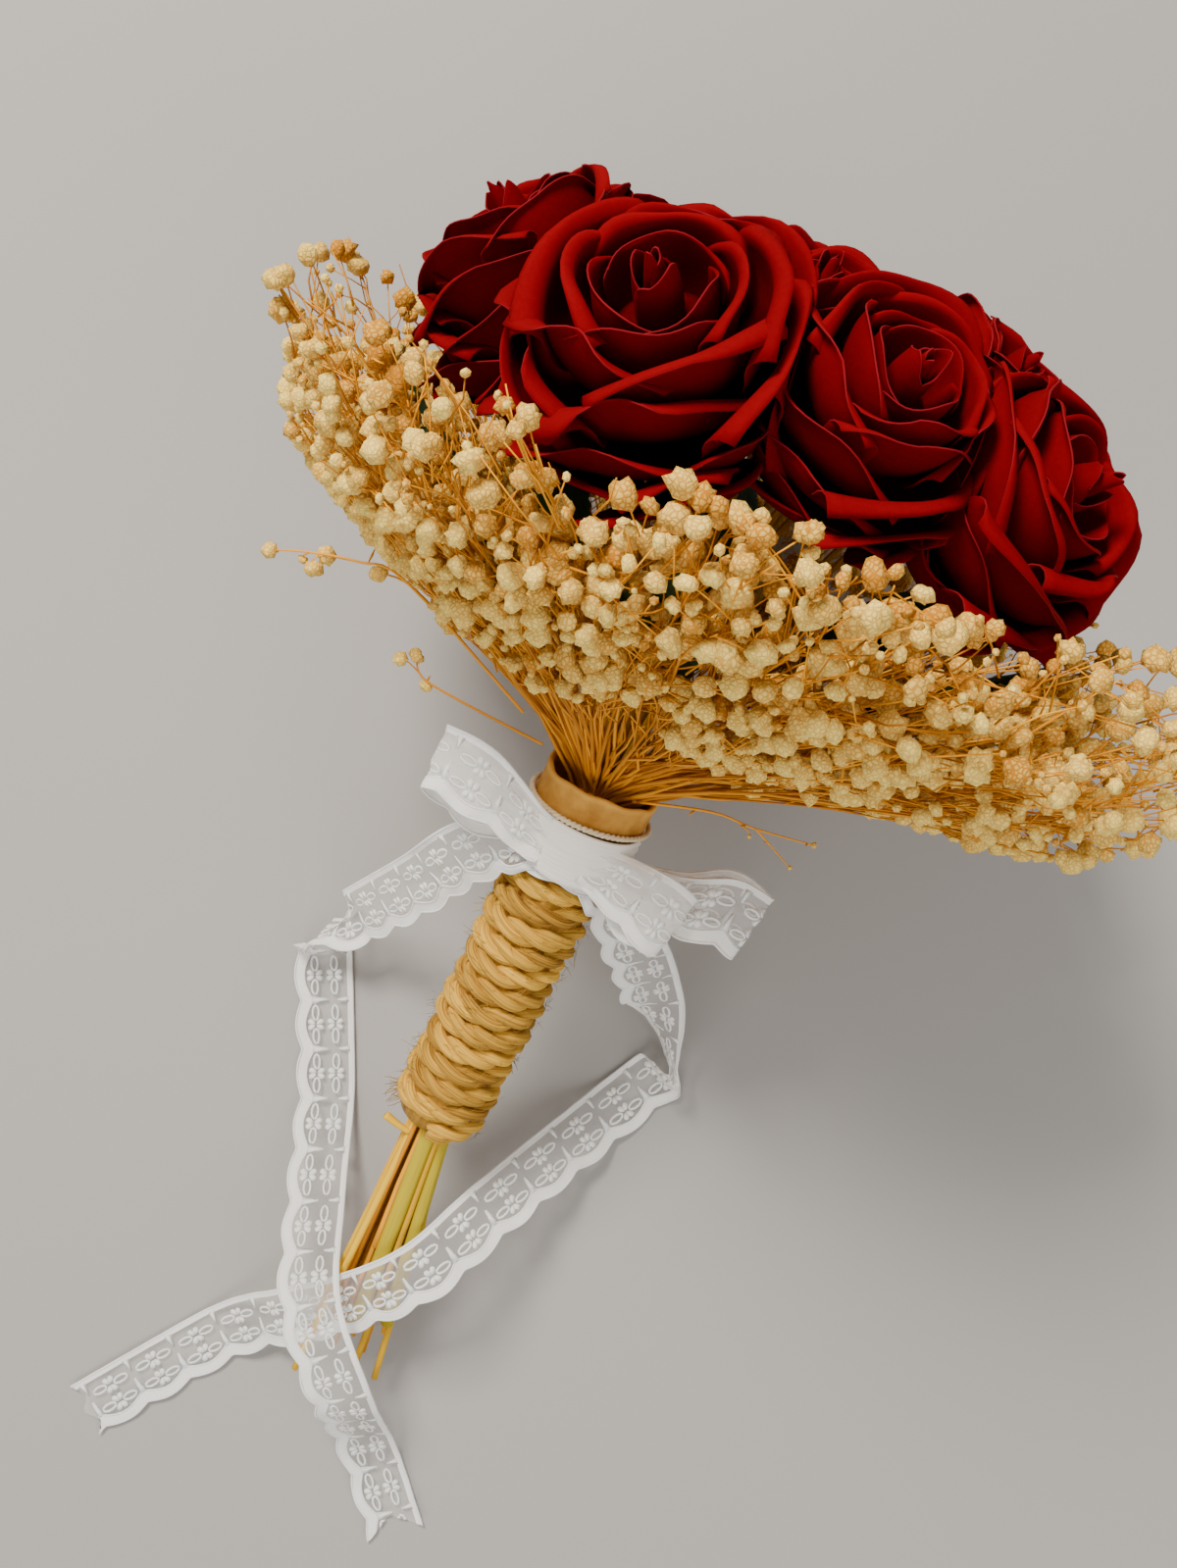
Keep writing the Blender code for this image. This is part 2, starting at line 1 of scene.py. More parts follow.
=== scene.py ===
"""Bridal bouquet: velvet roses in dried baby's breath, bound with jute and tied with lace.

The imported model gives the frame: metres, +Z up, +Y from the stem ends to the flowers.
Bouquet coordinates (across, along, out) start at the tie, where the stems are bound:
along runs up the leaning handle to the flowers, out points away from the table.
"""
from __future__ import annotations

import logging
import math
from collections.abc import Callable
from dataclasses import dataclass, field
from enum import Enum
from functools import lru_cache

import bmesh
import bpy
import numpy as np
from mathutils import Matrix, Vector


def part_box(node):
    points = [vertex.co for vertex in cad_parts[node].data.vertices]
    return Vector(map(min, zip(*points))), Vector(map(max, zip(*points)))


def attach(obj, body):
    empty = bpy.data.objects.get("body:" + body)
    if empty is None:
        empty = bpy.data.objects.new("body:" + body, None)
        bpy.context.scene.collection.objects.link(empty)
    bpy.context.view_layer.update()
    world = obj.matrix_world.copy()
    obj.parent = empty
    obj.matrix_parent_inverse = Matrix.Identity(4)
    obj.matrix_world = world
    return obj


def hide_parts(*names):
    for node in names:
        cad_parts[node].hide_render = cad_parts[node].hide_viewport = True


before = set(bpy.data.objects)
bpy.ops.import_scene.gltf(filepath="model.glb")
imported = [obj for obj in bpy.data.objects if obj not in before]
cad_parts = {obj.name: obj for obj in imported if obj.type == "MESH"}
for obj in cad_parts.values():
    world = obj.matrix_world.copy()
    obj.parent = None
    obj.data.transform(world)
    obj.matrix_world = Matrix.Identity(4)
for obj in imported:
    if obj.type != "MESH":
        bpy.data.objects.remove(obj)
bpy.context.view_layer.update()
LOG = logging.getLogger("bouquet")
TAU = 2.0 * math.pi
GRAIN_SCALE = 100.0              # units of a material's grain to a metre of tube
GRAIN_SHIFTS = 97                # places in the grain that tubes start from
SKEW = (0.31, 0.52, 0.79)        # a side that no route happens to run along


# ---- shapes kept as arrays, so that they can be bent and repeated --------------------

@dataclass(frozen=True)
class Shape:
    """A small mesh: its points, and its faces grouped by their number of corners."""

    points: np.ndarray
    faces: tuple[np.ndarray, ...]


def as_shape(bm: bmesh.types.BMesh) -> Shape:
    """Turn a bmesh into a Shape and free it.

    Args:
        bm: the finished bmesh.

    Returns:
        Its points and faces.
    """
    bm.verts.index_update()
    points = np.array([vertex.co[:] for vertex in bm.verts])
    groups: dict[int, list[list[int]]] = {}
    for face in bm.faces:
        groups.setdefault(len(face.verts), []).append([v.index for v in face.verts])
    bm.free()
    return Shape(points, tuple(np.array(group) for group in groups.values()))


@lru_cache(maxsize=None)
def unit_tube(rings: int, sides: int) -> Shape:
    """A closed tube of radius 1 along z, whose rings stand at z = 0, 1, 2 and so on.

    Args:
        rings: number of rings.
        sides: points a ring.

    Returns:
        The tube.
    """
    bm = bmesh.new()
    bmesh.ops.create_cone(
        bm, cap_ends=True, segments=sides, radius1=1.0, radius2=1.0, depth=rings - 1.0)
    if rings > 2:
        upright = [e for e in bm.edges if abs(e.verts[0].co.z - e.verts[1].co.z) > 0.5]
        bmesh.ops.subdivide_edges(bm, edges=upright, cuts=rings - 2)
    bmesh.ops.translate(bm, verts=bm.verts, vec=(0.0, 0.0, (rings - 1.0) / 2.0))
    return as_shape(bm)


@lru_cache(maxsize=None)
def unit_sheet(across: int, along: int) -> Shape:
    """A flat grid from -1 to 1 in x and from 0 to 1 in y.

    Args:
        across: number of faces in x.
        along: number of faces in y.

    Returns:
        The grid.
    """
    bm = bmesh.new()
    bmesh.ops.create_grid(bm, x_segments=across, y_segments=along, size=1.0)
    bmesh.ops.scale(bm, verts=bm.verts, vec=(1.0, 0.5, 1.0))
    bmesh.ops.translate(bm, verts=bm.verts, vec=(0.0, 0.5, 0.0))
    return as_shape(bm)


def smooth(value: np.ndarray | float) -> np.ndarray:
    """Ease from 0 to 1 while the value goes from 0 to 1."""
    clipped = np.clip(value, 0.0, 1.0)
    return clipped * clipped * (3.0 - 2.0 * clipped)


def unit(vectors: np.ndarray) -> np.ndarray:
    """Scale vectors to length 1."""
    return vectors / np.maximum(np.linalg.norm(vectors, axis=-1, keepdims=True), 1e-12)


def frames_along(route: np.ndarray, first: np.ndarray) -> tuple[np.ndarray, np.ndarray]:
    """Two directions square to a route, turned as little as possible on the way.

    Args:
        route: points of the route.
        first: roughly where the first direction starts.

    Returns:
        The two directions at each point.
    """
    tangents = unit(np.gradient(route, axis=0))
    side = np.array(first, float)
    sides = np.empty_like(route)
    for index, tangent in enumerate(tangents):
        side = side - tangent * side.dot(tangent)
        side = side / max(math.sqrt(side.dot(side)), 1e-9)
        sides[index] = side
    return sides, np.cross(tangents, sides)


def bent(start: np.ndarray, pull: np.ndarray, end: np.ndarray, count: int) -> np.ndarray:
    """Points on a quadratic curve.

    Args:
        start: its first point.
        pull: the point that it bends towards.
        end: its last point.
        count: number of points.

    Returns:
        The points.
    """
    t = np.linspace(0.0, 1.0, count)[:, None]
    return (1 - t) ** 2 * start + 2 * t * (1 - t) * pull + t * t * end


def distance_run(route: np.ndarray) -> np.ndarray:
    """The distance run along a route, at each of its points."""
    return np.concatenate([[0.0], np.cumsum(np.linalg.norm(np.diff(route, axis=0), axis=1))])


def route_length(route: np.ndarray) -> float:
    """The whole length of a route."""
    return float(np.linalg.norm(np.diff(route, axis=0), axis=1).sum())


def taken_off(excess: np.ndarray, give: float) -> np.ndarray:
    """How much of an excess a soft stop takes off, where it gives way by up to a depth."""
    return excess - give * (1.0 - np.exp(-excess / give))


def smooth_route(points: np.ndarray, steps: int) -> np.ndarray:
    """Sample a Catmull-Rom curve through a route's points.

    Args:
        points: the route's points.
        steps: samples between two of them.

    Returns:
        The samples, with the last point at their end.
    """
    padded = np.vstack([points[:1], points, points[-1:]])
    t = np.linspace(0.0, 1.0, steps, endpoint=False)[:, None]
    parts = []
    for before, start, end, after in zip(padded, padded[1:], padded[2:], padded[3:]):
        parts.append(0.5 * (
            2.0 * start + (end - before) * t
            + (2.0 * before - 5.0 * start + 4.0 * end - after) * t ** 2
            + (3.0 * start - before - 3.0 * end + after) * t ** 3))
    return np.vstack(parts + [points[-1:]])


def evenly(route: np.ndarray, step: float) -> tuple[np.ndarray, np.ndarray]:
    """Resample a route at even distances.

    Args:
        route: its points.
        step: the distance wanted.

    Returns:
        The distance run at each new point, and the new points.
    """
    run = distance_run(route)
    places = np.linspace(0.0, run[-1], max(3, int(run[-1] / step) + 1))
    return places, np.stack([np.interp(places, run, route[:, k]) for k in range(3)], axis=1)


class Basket:
    """Gathers many small shapes into one mesh, with a tone and a grain at each point."""

    def __init__(self) -> None:
        """Start empty."""
        self.points: list[np.ndarray] = []
        self.tones: list[np.ndarray] = []
        self.grains: list[np.ndarray] = []
        self.faces: list[np.ndarray] = []
        self.marks: list[int] = []
        self.count = 0

    def add(self, points: np.ndarray, faces: tuple[np.ndarray, ...],
            tone: np.ndarray | float = 0.0, grain: np.ndarray | None = None,
            mark: int | np.ndarray = 0) -> None:
        """Put one shape in.

        Args:
            points: its points in place.
            faces: its faces.
            tone: one number, or one a point, that its material reads.
            grain: a place in the material's grain a point; its own place where None.
            mark: the material slot of its faces, or one a face.
        """
        self.points.append(points)
        self.tones.append(np.broadcast_to(np.asarray(tone, float), (len(points),)))
        self.grains.append(points if grain is None else grain)
        for group in faces:
            self.faces.append(group + self.count)
            self.marks.extend(np.broadcast_to(mark, (len(group),)).tolist())
        self.count += len(points)

    def tube(self, route: np.ndarray, radii: np.ndarray | float, sides: int,
             tone: np.ndarray | float = 0.0, first: tuple = SKEW,
             flat: float = 1.0, mark: int = 0) -> None:
        """Put a tube in along a route.

        Args:
            route: its middle line.
            radii: its radius, or one a point of the route.
            sides: points round it.
            tone: one number, or one a point of the route.
            first: roughly where its first side faces.
            flat: its thickness as a share of its width.
            mark: the material slot of its faces.
        """
        shape = unit_tube(len(route), sides)
        ring = np.rint(shape.points[:, 2]).astype(int)
        side, other = frames_along(route, np.array(first))
        radius = np.broadcast_to(np.asarray(radii, float), (len(route),))[ring][:, None]
        points = route[ring] + radius * (
            shape.points[:, :1] * side[ring] + flat * shape.points[:, 1:2] * other[ring])
        run = distance_run(route)
        lengthwise = run[ring] * GRAIN_SCALE + self.count % GRAIN_SHIFTS
        grain = np.column_stack([shape.points[:, :2], lengthwise])
        if np.ndim(tone) == 1:
            tone = np.asarray(tone)[ring]
        self.add(points, shape.faces, tone, grain, mark)

    def moved(self, change: Callable[[np.ndarray], np.ndarray]) -> None:
        """Pass every point gathered so far through a change of place."""
        self.points = [change(np.vstack(self.points))]

    def piece(self, name: str, finishes: list[bpy.types.Material]) -> bpy.types.Object:
        """Make the mesh object.

        Args:
            name: the piece's name.
            finishes: its materials, one a slot.

        Returns:
            The object, at the origin.
        """
        mesh = bpy.data.meshes.new(name)
        faces = [row for group in self.faces for row in group.tolist()]
        mesh.from_pydata(np.vstack(self.points).tolist(), [], faces)
        for finish in finishes:
            mesh.materials.append(finish)
        mesh.polygons.foreach_set("material_index", self.marks)
        tone = mesh.attributes.new("tone", "FLOAT", "POINT")
        tone.data.foreach_set("value", np.concatenate(self.tones).astype(np.float32))
        grain = mesh.attributes.new("grain", "FLOAT_VECTOR", "POINT")
        grain.data.foreach_set("vector", np.vstack(self.grains).astype(np.float32).ravel())
        mesh.shade_smooth()
        mesh.update()
        obj = bpy.data.objects.new(name, mesh)
        bpy.context.scene.collection.objects.link(obj)
        return obj


def settle_in(obj: bpy.types.Object, slot: str, *nodes: str) -> bpy.types.Object:
    """Hang a piece on the root body and hide the CAD nodes that it stands for.

    Args:
        obj: the piece.
        slot: not used.
        nodes: the CAD nodes that it stands for.

    Returns:
        The piece.
    """
    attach(obj, "root")
    if nodes:
        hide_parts(*nodes)
    LOG.info("%s: %d faces", obj.name, len(obj.data.polygons))
    return obj


# ---- posture -------------------------------------------------------------------------

@dataclass(frozen=True)
class Posture:
    """How the bouquet lies: places in bouquet coordinates, brought into the frame.

    The tie stands tie_height above the table and the handle leans by lean. Below
    settle_height things are pressed. The cord, the handle's bottom and the stems' end are
    places along the handle, sway is how far its lower end stands aside, and shift brings
    everything into the frame.
    """

    tie_height: float = 0.101
    lean: float = math.radians(21.0)
    settle_height: float = 0.030
    cord_along: float = -0.0026
    handle_bottom: float = -0.141
    stem_end: float = -0.255
    sway: float = -0.0052
    shift: np.ndarray = field(default_factory=lambda: np.zeros(3))

    @classmethod
    def from_frame(cls) -> Posture:
        """Find the tie from the collar cord's node, whose middle is on the handle's axis.

        Returns:
            The posture, with its shift into the frame.
        """
        low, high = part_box("collar_cord")
        middle = (np.array(low[:]) + np.array(high[:])) / 2.0
        return cls(shift=middle - cls().place(0.0, cls.cord_along, 0.0))

    def place(self, across: np.ndarray | float, along: np.ndarray | float,
              out: np.ndarray | float) -> np.ndarray:
        """A point, or many, given in bouquet coordinates; the bound handle leans aside.

        Args:
            across: to the right of the handle's axis.
            along: up the handle from the tie.
            out: away from the table, square to the handle.

        Returns:
            The point or points in the frame.
        """
        across, along, out = np.broadcast_arrays(
            *(np.asarray(value, float) for value in (across, along, out)))
        bound = np.clip(along / self.handle_bottom, 0.0, 1.0)
        free = np.clip((along - self.stem_end) / (self.handle_bottom - self.stem_end), 0.0, 1.0)
        across = across + self.sway * bound * free
        forward = along * math.cos(self.lean) - out * math.sin(self.lean)
        up = self.tie_height + along * math.sin(self.lean) + out * math.cos(self.lean)
        return np.stack([across, forward, up], axis=-1) + self.shift

    def way(self, across: float, along: float, out: float) -> np.ndarray:
        """A direction given in bouquet coordinates."""
        return unit(np.array([
            across, along * math.cos(self.lean) - out * math.sin(self.lean),
            along * math.sin(self.lean) + out * math.cos(self.lean)]))

    def polar(self, distance: np.ndarray | float, angle: np.ndarray | float,
              turn: np.ndarray | float) -> np.ndarray:
        """Points at a distance from the tie, an angle from the axis and a turn round it."""
        radius = distance * np.sin(angle)
        return self.place(radius * np.sin(turn), distance * np.cos(angle), radius * np.cos(turn))

    def facing(self, angle: float, turn: float) -> np.ndarray:
        """The direction at an angle from the axis and a turn round it."""
        return self.way(math.sin(angle) * math.sin(turn), math.cos(angle),
                        math.sin(angle) * math.cos(turn))

    def on_table(self, points: np.ndarray) -> np.ndarray:
        """Bring points given from the spot on the table below the tie into the frame."""
        return points + self.shift

    def settle(self, points: np.ndarray) -> np.ndarray:
        """Press soft things down onto the table without letting anything cross.

        Args:
            points: points in the frame.

        Returns:
            The points, the low ones pressed together above the table.
        """
        height = points[..., 2] - self.shift[2]
        depth = np.clip((self.settle_height - height) / self.settle_height, 0.0, None)
        pressed = np.where(depth > 0.0, self.settle_height * np.exp(-depth), height)
        settled = points.copy()
        settled[..., 2] = pressed + self.shift[2]
        return settled


# ---- finishes ------------------------------------------------------------------------

class Weave(Enum):
    """Where a finish takes the place in its pattern from."""

    OBJECT = "object"
    GRAIN = "grain"


@dataclass(frozen=True)
class Finish:
    """A procedural finish: two colours by tone, broken up by noise, with a fine bump.

    A finish with cells also paints shade into the creases between tiny petals, crease_width
    of a cell wide, by cell_shade, and paints light on the petals between them by cell_lift.
    """

    name: str
    dark: tuple[float, float, float]
    light: tuple[float, float, float]
    roughness: float = 0.85
    speckle: float = 0.25
    scale: float = 400.0
    stretch: tuple[float, float, float] = (1.0, 1.0, 1.0)
    bump: float = 0.25
    bump_size: float = 0.0002
    weave: Weave = Weave.OBJECT
    sheen: float = 0.0
    sheen_tint: tuple[float, float, float] = (1.0, 1.0, 1.0)
    sheen_roughness: float = 0.35
    alpha: float = 1.0
    glow_through: float = 0.0
    cells: float = 0.0
    cell_shade: float = 0.45
    gloss: float = 0.25
    detail: float = 3.0
    glow_depth: float = 0.002
    crease_width: float = 0.22
    cell_lift: float = 0.12

    def make(self) -> bpy.types.Material:
        """Build the material's nodes.

        Returns:
            The material.
        """
        material = bpy.data.materials.new(self.name)
        material.use_nodes = True
        nodes = material.node_tree.nodes
        links = material.node_tree.links
        shader = nodes["Principled BSDF"]

        if self.weave is Weave.GRAIN:
            source = nodes.new("ShaderNodeAttribute")
            source.attribute_name = "grain"
            place = source.outputs["Vector"]
        else:
            place = nodes.new("ShaderNodeTexCoord").outputs["Object"]
        mapping = nodes.new("ShaderNodeMapping")
        mapping.inputs["Scale"].default_value = self.stretch
        links.new(place, mapping.inputs["Vector"])
        noise = nodes.new("ShaderNodeTexNoise")
        noise.inputs["Scale"].default_value = self.scale
        noise.inputs["Detail"].default_value = self.detail
        links.new(mapping.outputs["Vector"], noise.inputs["Vector"])
        relief = noise.outputs["Fac"]

        tone = nodes.new("ShaderNodeAttribute")
        tone.attribute_name = "tone"
        sway = nodes.new("ShaderNodeMath")
        sway.operation = "MULTIPLY_ADD"
        links.new(noise.outputs["Fac"], sway.inputs[0])
        sway.inputs[1].default_value = self.speckle
        sway.inputs[2].default_value = -0.5 * self.speckle
        total = nodes.new("ShaderNodeMath")
        total.operation = "ADD"
        links.new(tone.outputs["Fac"], total.inputs[0])
        links.new(sway.outputs[0], total.inputs[1])
        if self.cells > 0.0:
            total, relief = self.petal_cells(nodes, links, mapping, total)
        total.use_clamp = True
        ramp = nodes.new("ShaderNodeValToRGB")
        ramp.color_ramp.elements[0].color = (*self.dark, 1.0)
        ramp.color_ramp.elements[1].color = (*self.light, 1.0)
        links.new(total.outputs[0], ramp.inputs["Fac"])
        links.new(ramp.outputs["Color"], shader.inputs["Base Color"])

        bump = nodes.new("ShaderNodeBump")
        bump.inputs["Strength"].default_value = self.bump
        bump.inputs["Distance"].default_value = self.bump_size
        links.new(relief, bump.inputs["Height"])
        links.new(bump.outputs["Normal"], shader.inputs["Normal"])

        shader.inputs["Roughness"].default_value = self.roughness
        shader.inputs["Specular IOR Level"].default_value = self.gloss
        shader.inputs["Sheen Weight"].default_value = self.sheen
        shader.inputs["Sheen Roughness"].default_value = self.sheen_roughness
        shader.inputs["Sheen Tint"].default_value = (*self.sheen_tint, 1.0)
        shader.inputs["Alpha"].default_value = self.alpha
        if self.glow_through > 0.0:
            shader.inputs["Subsurface Weight"].default_value = self.glow_through
            shader.inputs["Subsurface Scale"].default_value = self.glow_depth
        material.diffuse_color = (*self.light, 1.0)
        return material

    def petal_cells(self, nodes: bpy.types.Nodes, links: bpy.types.NodeLinks,
                    mapping: bpy.types.Node, total: bpy.types.Node,
                    ) -> tuple[bpy.types.Node, bpy.types.NodeSocket]:
        """Paint shade into the creases between the tiny petals of a floret, and light on the
        petals.

        Args:
            nodes: the material's nodes.
            links: its links.
            mapping: the node that gives the place.
            total: the node that sums the tone so far.

        Returns:
            The node that sums the tone, and the height of the relief.
        """
        cells = nodes.new("ShaderNodeTexVoronoi")
        cells.feature = "DISTANCE_TO_EDGE"
        cells.inputs["Scale"].default_value = self.cells
        links.new(mapping.outputs["Vector"], cells.inputs["Vector"])
        crease = nodes.new("ShaderNodeMapRange")
        crease.inputs["From Max"].default_value = self.crease_width
        crease.inputs["To Min"].default_value = -self.cell_shade
        crease.inputs["To Max"].default_value = self.cell_lift
        links.new(cells.outputs["Distance"], crease.inputs["Value"])
        shaded = nodes.new("ShaderNodeMath")
        shaded.operation = "ADD"
        links.new(total.outputs[0], shaded.inputs[0])
        links.new(crease.outputs["Result"], shaded.inputs[1])
        return shaded, crease.outputs["Result"]


FINISHES = (
    Finish("velvet", (0.030, 0.0002, 0.0006), (0.200, 0.0011, 0.0040), 0.95, 0.30, 700.0,
           bump=0.30, bump_size=0.00015, sheen=0.02, sheen_tint=(1.0, 0.02, 0.04), gloss=0.04),
    # The petal rims: the cut velvet's own lighter edge, with a painted highlight along it.
    Finish("velvet_cut_edge_highlight", (0.08, 0.002, 0.004), (0.21, 0.006, 0.012), 0.80, 0.35, 700.0,
           gloss=0.08),
    Finish("blossom", (0.54, 0.21, 0.006), (1.00, 0.75, 0.19), 0.80, 0.22, 350.0,
           bump=0.55, bump_size=0.0005, glow_through=0.10, cells=740.0, cell_shade=0.42),
    Finish("dried_stem", (0.36, 0.105, 0.001), (0.98, 0.43, 0.010), 0.65, 0.45, 3.0,
           (1.0, 1.0, 0.25), weave=Weave.GRAIN),
    Finish("golden_stem", (0.46, 0.220, 0.004), (0.98, 0.60, 0.018), 0.60, 0.45, 3.0,
           (1.0, 1.0, 0.20), weave=Weave.GRAIN),
    Finish("green_stem", (0.22, 0.17, 0.004), (0.60, 0.46, 0.012), 0.60, 0.55, 3.0,
           (1.0, 1.0, 0.20), weave=Weave.GRAIN),
    Finish("leaf_cloth", (0.008, 0.022, 0.006), (0.030, 0.075, 0.018), 0.70, 0.30, 500.0,
           bump=0.3),
    Finish("tape", (0.25, 0.16, 0.07), (0.38, 0.26, 0.12), 0.8, 0.3, 500.0),
    Finish("jute", (0.16, 0.052, 0.003), (0.98, 0.57, 0.072), 0.92, 1.35, 3.2,
           (1.0, 1.0, 0.11), 1.0, 0.0010, Weave.GRAIN, sheen=0.08,
           sheen_tint=(1.0, 0.80, 0.45)),
    Finish("kraft", (0.27, 0.085, 0.005), (0.84, 0.46, 0.085), 0.85, 0.90, 170.0,
           bump=0.6, bump_size=0.0006),
    Finish("cotton", (0.52, 0.38, 0.20), (0.86, 0.73, 0.50), 0.9, 0.5, 3.0,
           (1.0, 1.0, 0.6), 0.8, 0.0003, Weave.GRAIN),
    Finish("lace_thread", (0.84, 0.83, 0.81), (0.97, 0.96, 0.94), 0.75, 0.30, 900.0,
           bump=0.5, bump_size=0.0003, sheen=0.12, glow_through=0.15),
    Finish("lace_net", (0.84, 0.83, 0.82), (0.96, 0.95, 0.94), 0.70, 0.30, 1200.0,
           alpha=0.22),
    Finish("lace_gathered", (0.86, 0.85, 0.82), (0.97, 0.96, 0.93), 0.75, 0.40, 600.0,
           bump=0.5, bump_size=0.0004, alpha=0.55),
    Finish("lace_folded", (0.78, 0.74, 0.66), (0.96, 0.94, 0.89), 0.75, 0.55, 9.0,
           (1.0, 0.08, 1.0), 0.6, 0.0006, Weave.GRAIN, sheen=0.10),
)


# ---- roses ---------------------------------------------------------------------------

@dataclass(frozen=True)
class PetalRing:
    """One ring of petals; lengths are shares of the head's radius, angles in degrees.

    The base, belly and rim of a petal are each its distance from the bud's axis and its
    height. It wraps that far to each side, its lip rolls back, its corners droop, its sides
    flare, its middle has a peak, and pointed is the share of petals with a sharp fold.
    A skirt hangs only on the outer side of the outer heads.
    """

    count: int
    base: tuple[float, float]
    belly: tuple[float, float]
    rim: tuple[float, float]
    wrap: float
    roll: float
    lip: float
    droop: float
    flare: float = 0.10
    pointed: float = 0.0
    peak: float = 0.0
    skirt: bool = False


PETAL_RINGS = (
    PetalRing(2, (0.01, -0.25), (0.15, 0.18), (0.05, 0.66), 150.0, 8.0, 0.03, 0.12, 0.0, 0.0, 0.06),
    PetalRing(2, (0.03, -0.25), (0.22, 0.15), (0.15, 0.58), 100.0, 18.0, 0.04, 0.14, 0.02, 0.0,
              0.08),
    PetalRing(3, (0.05, -0.30), (0.46, 0.02), (0.40, 0.50), 78.0, 25.0, 0.05, 0.14, 0.05, 0.0),
    PetalRing(4, (0.06, -0.35), (0.60, -0.02), (0.52, 0.54), 62.0, 100.0, 0.06, 0.20, 0.12, 0.3),
    PetalRing(5, (0.08, -0.45), (0.80, -0.16), (0.72, 0.44), 54.0, 130.0, 0.085, 0.24, 0.14, 0.5),
    PetalRing(5, (0.10, -0.52), (0.95, -0.36), (0.90, 0.18), 52.0, 135.0, 0.10, 0.26, 0.14, 0.5),
    PetalRing(6, (0.12, -0.60), (1.00, -0.55), (1.02, -0.10), 46.0, 110.0, 0.11, 0.26, 0.12, 0.4),
    PetalRing(6, (0.14, -0.70), (1.02, -0.80), (1.04, -0.42), 46.0, 90.0, 0.10, 0.20, 0.10, 0.3,
              skirt=True),
)


@dataclass(frozen=True)
class RosePlace:
    """Where a rose's bud stands: distance from the tie, angle and turn, and head radius.

    A fine head has more faces in each petal.
    """

    name: str
    distance: float
    angle: float
    turn: float
    radius: float
    fine: bool = False


ROSE_PLACES = (
    RosePlace("rose_front_left", 0.1860, 30.5, -25.0, 0.0360, True),
    RosePlace("rose_front_right", 0.1860, 27.0, 19.0, 0.0305, True),
    RosePlace("rose_right", 0.1860, 32.5, 56.0, 0.0330, True),
    RosePlace("rose_left", 0.1860, 31.0, -74.0, 0.0330, True),
    RosePlace("rose_back_right", 0.1860, 33.0, 107.0, 0.0360),
    RosePlace("rose_under_right", 0.1860, 33.0, 154.0, 0.0350),
    RosePlace("rose_under_left", 0.1860, 33.0, -160.0, 0.0350),
    RosePlace("rose_back_left", 0.1860, 33.0, -116.0, 0.0340),
    RosePlace("rose_crown_front", 0.1825, 14.0, -2.0, 0.0270, True),
    RosePlace("rose_crown_right", 0.1870, 19.5, 67.0, 0.0275),
    RosePlace("rose_crown_back_right", 0.1780, 17.0, 144.0, 0.0275),
    RosePlace("rose_crown_back_left", 0.1770, 17.0, -144.0, 0.0275),
    RosePlace("rose_crown_left", 0.1780, 17.0, -78.0, 0.0265),
    RosePlace("rose_crown_middle", 0.1810, 2.0, 180.0, 0.0265),
)


ROSE_SEED = 300


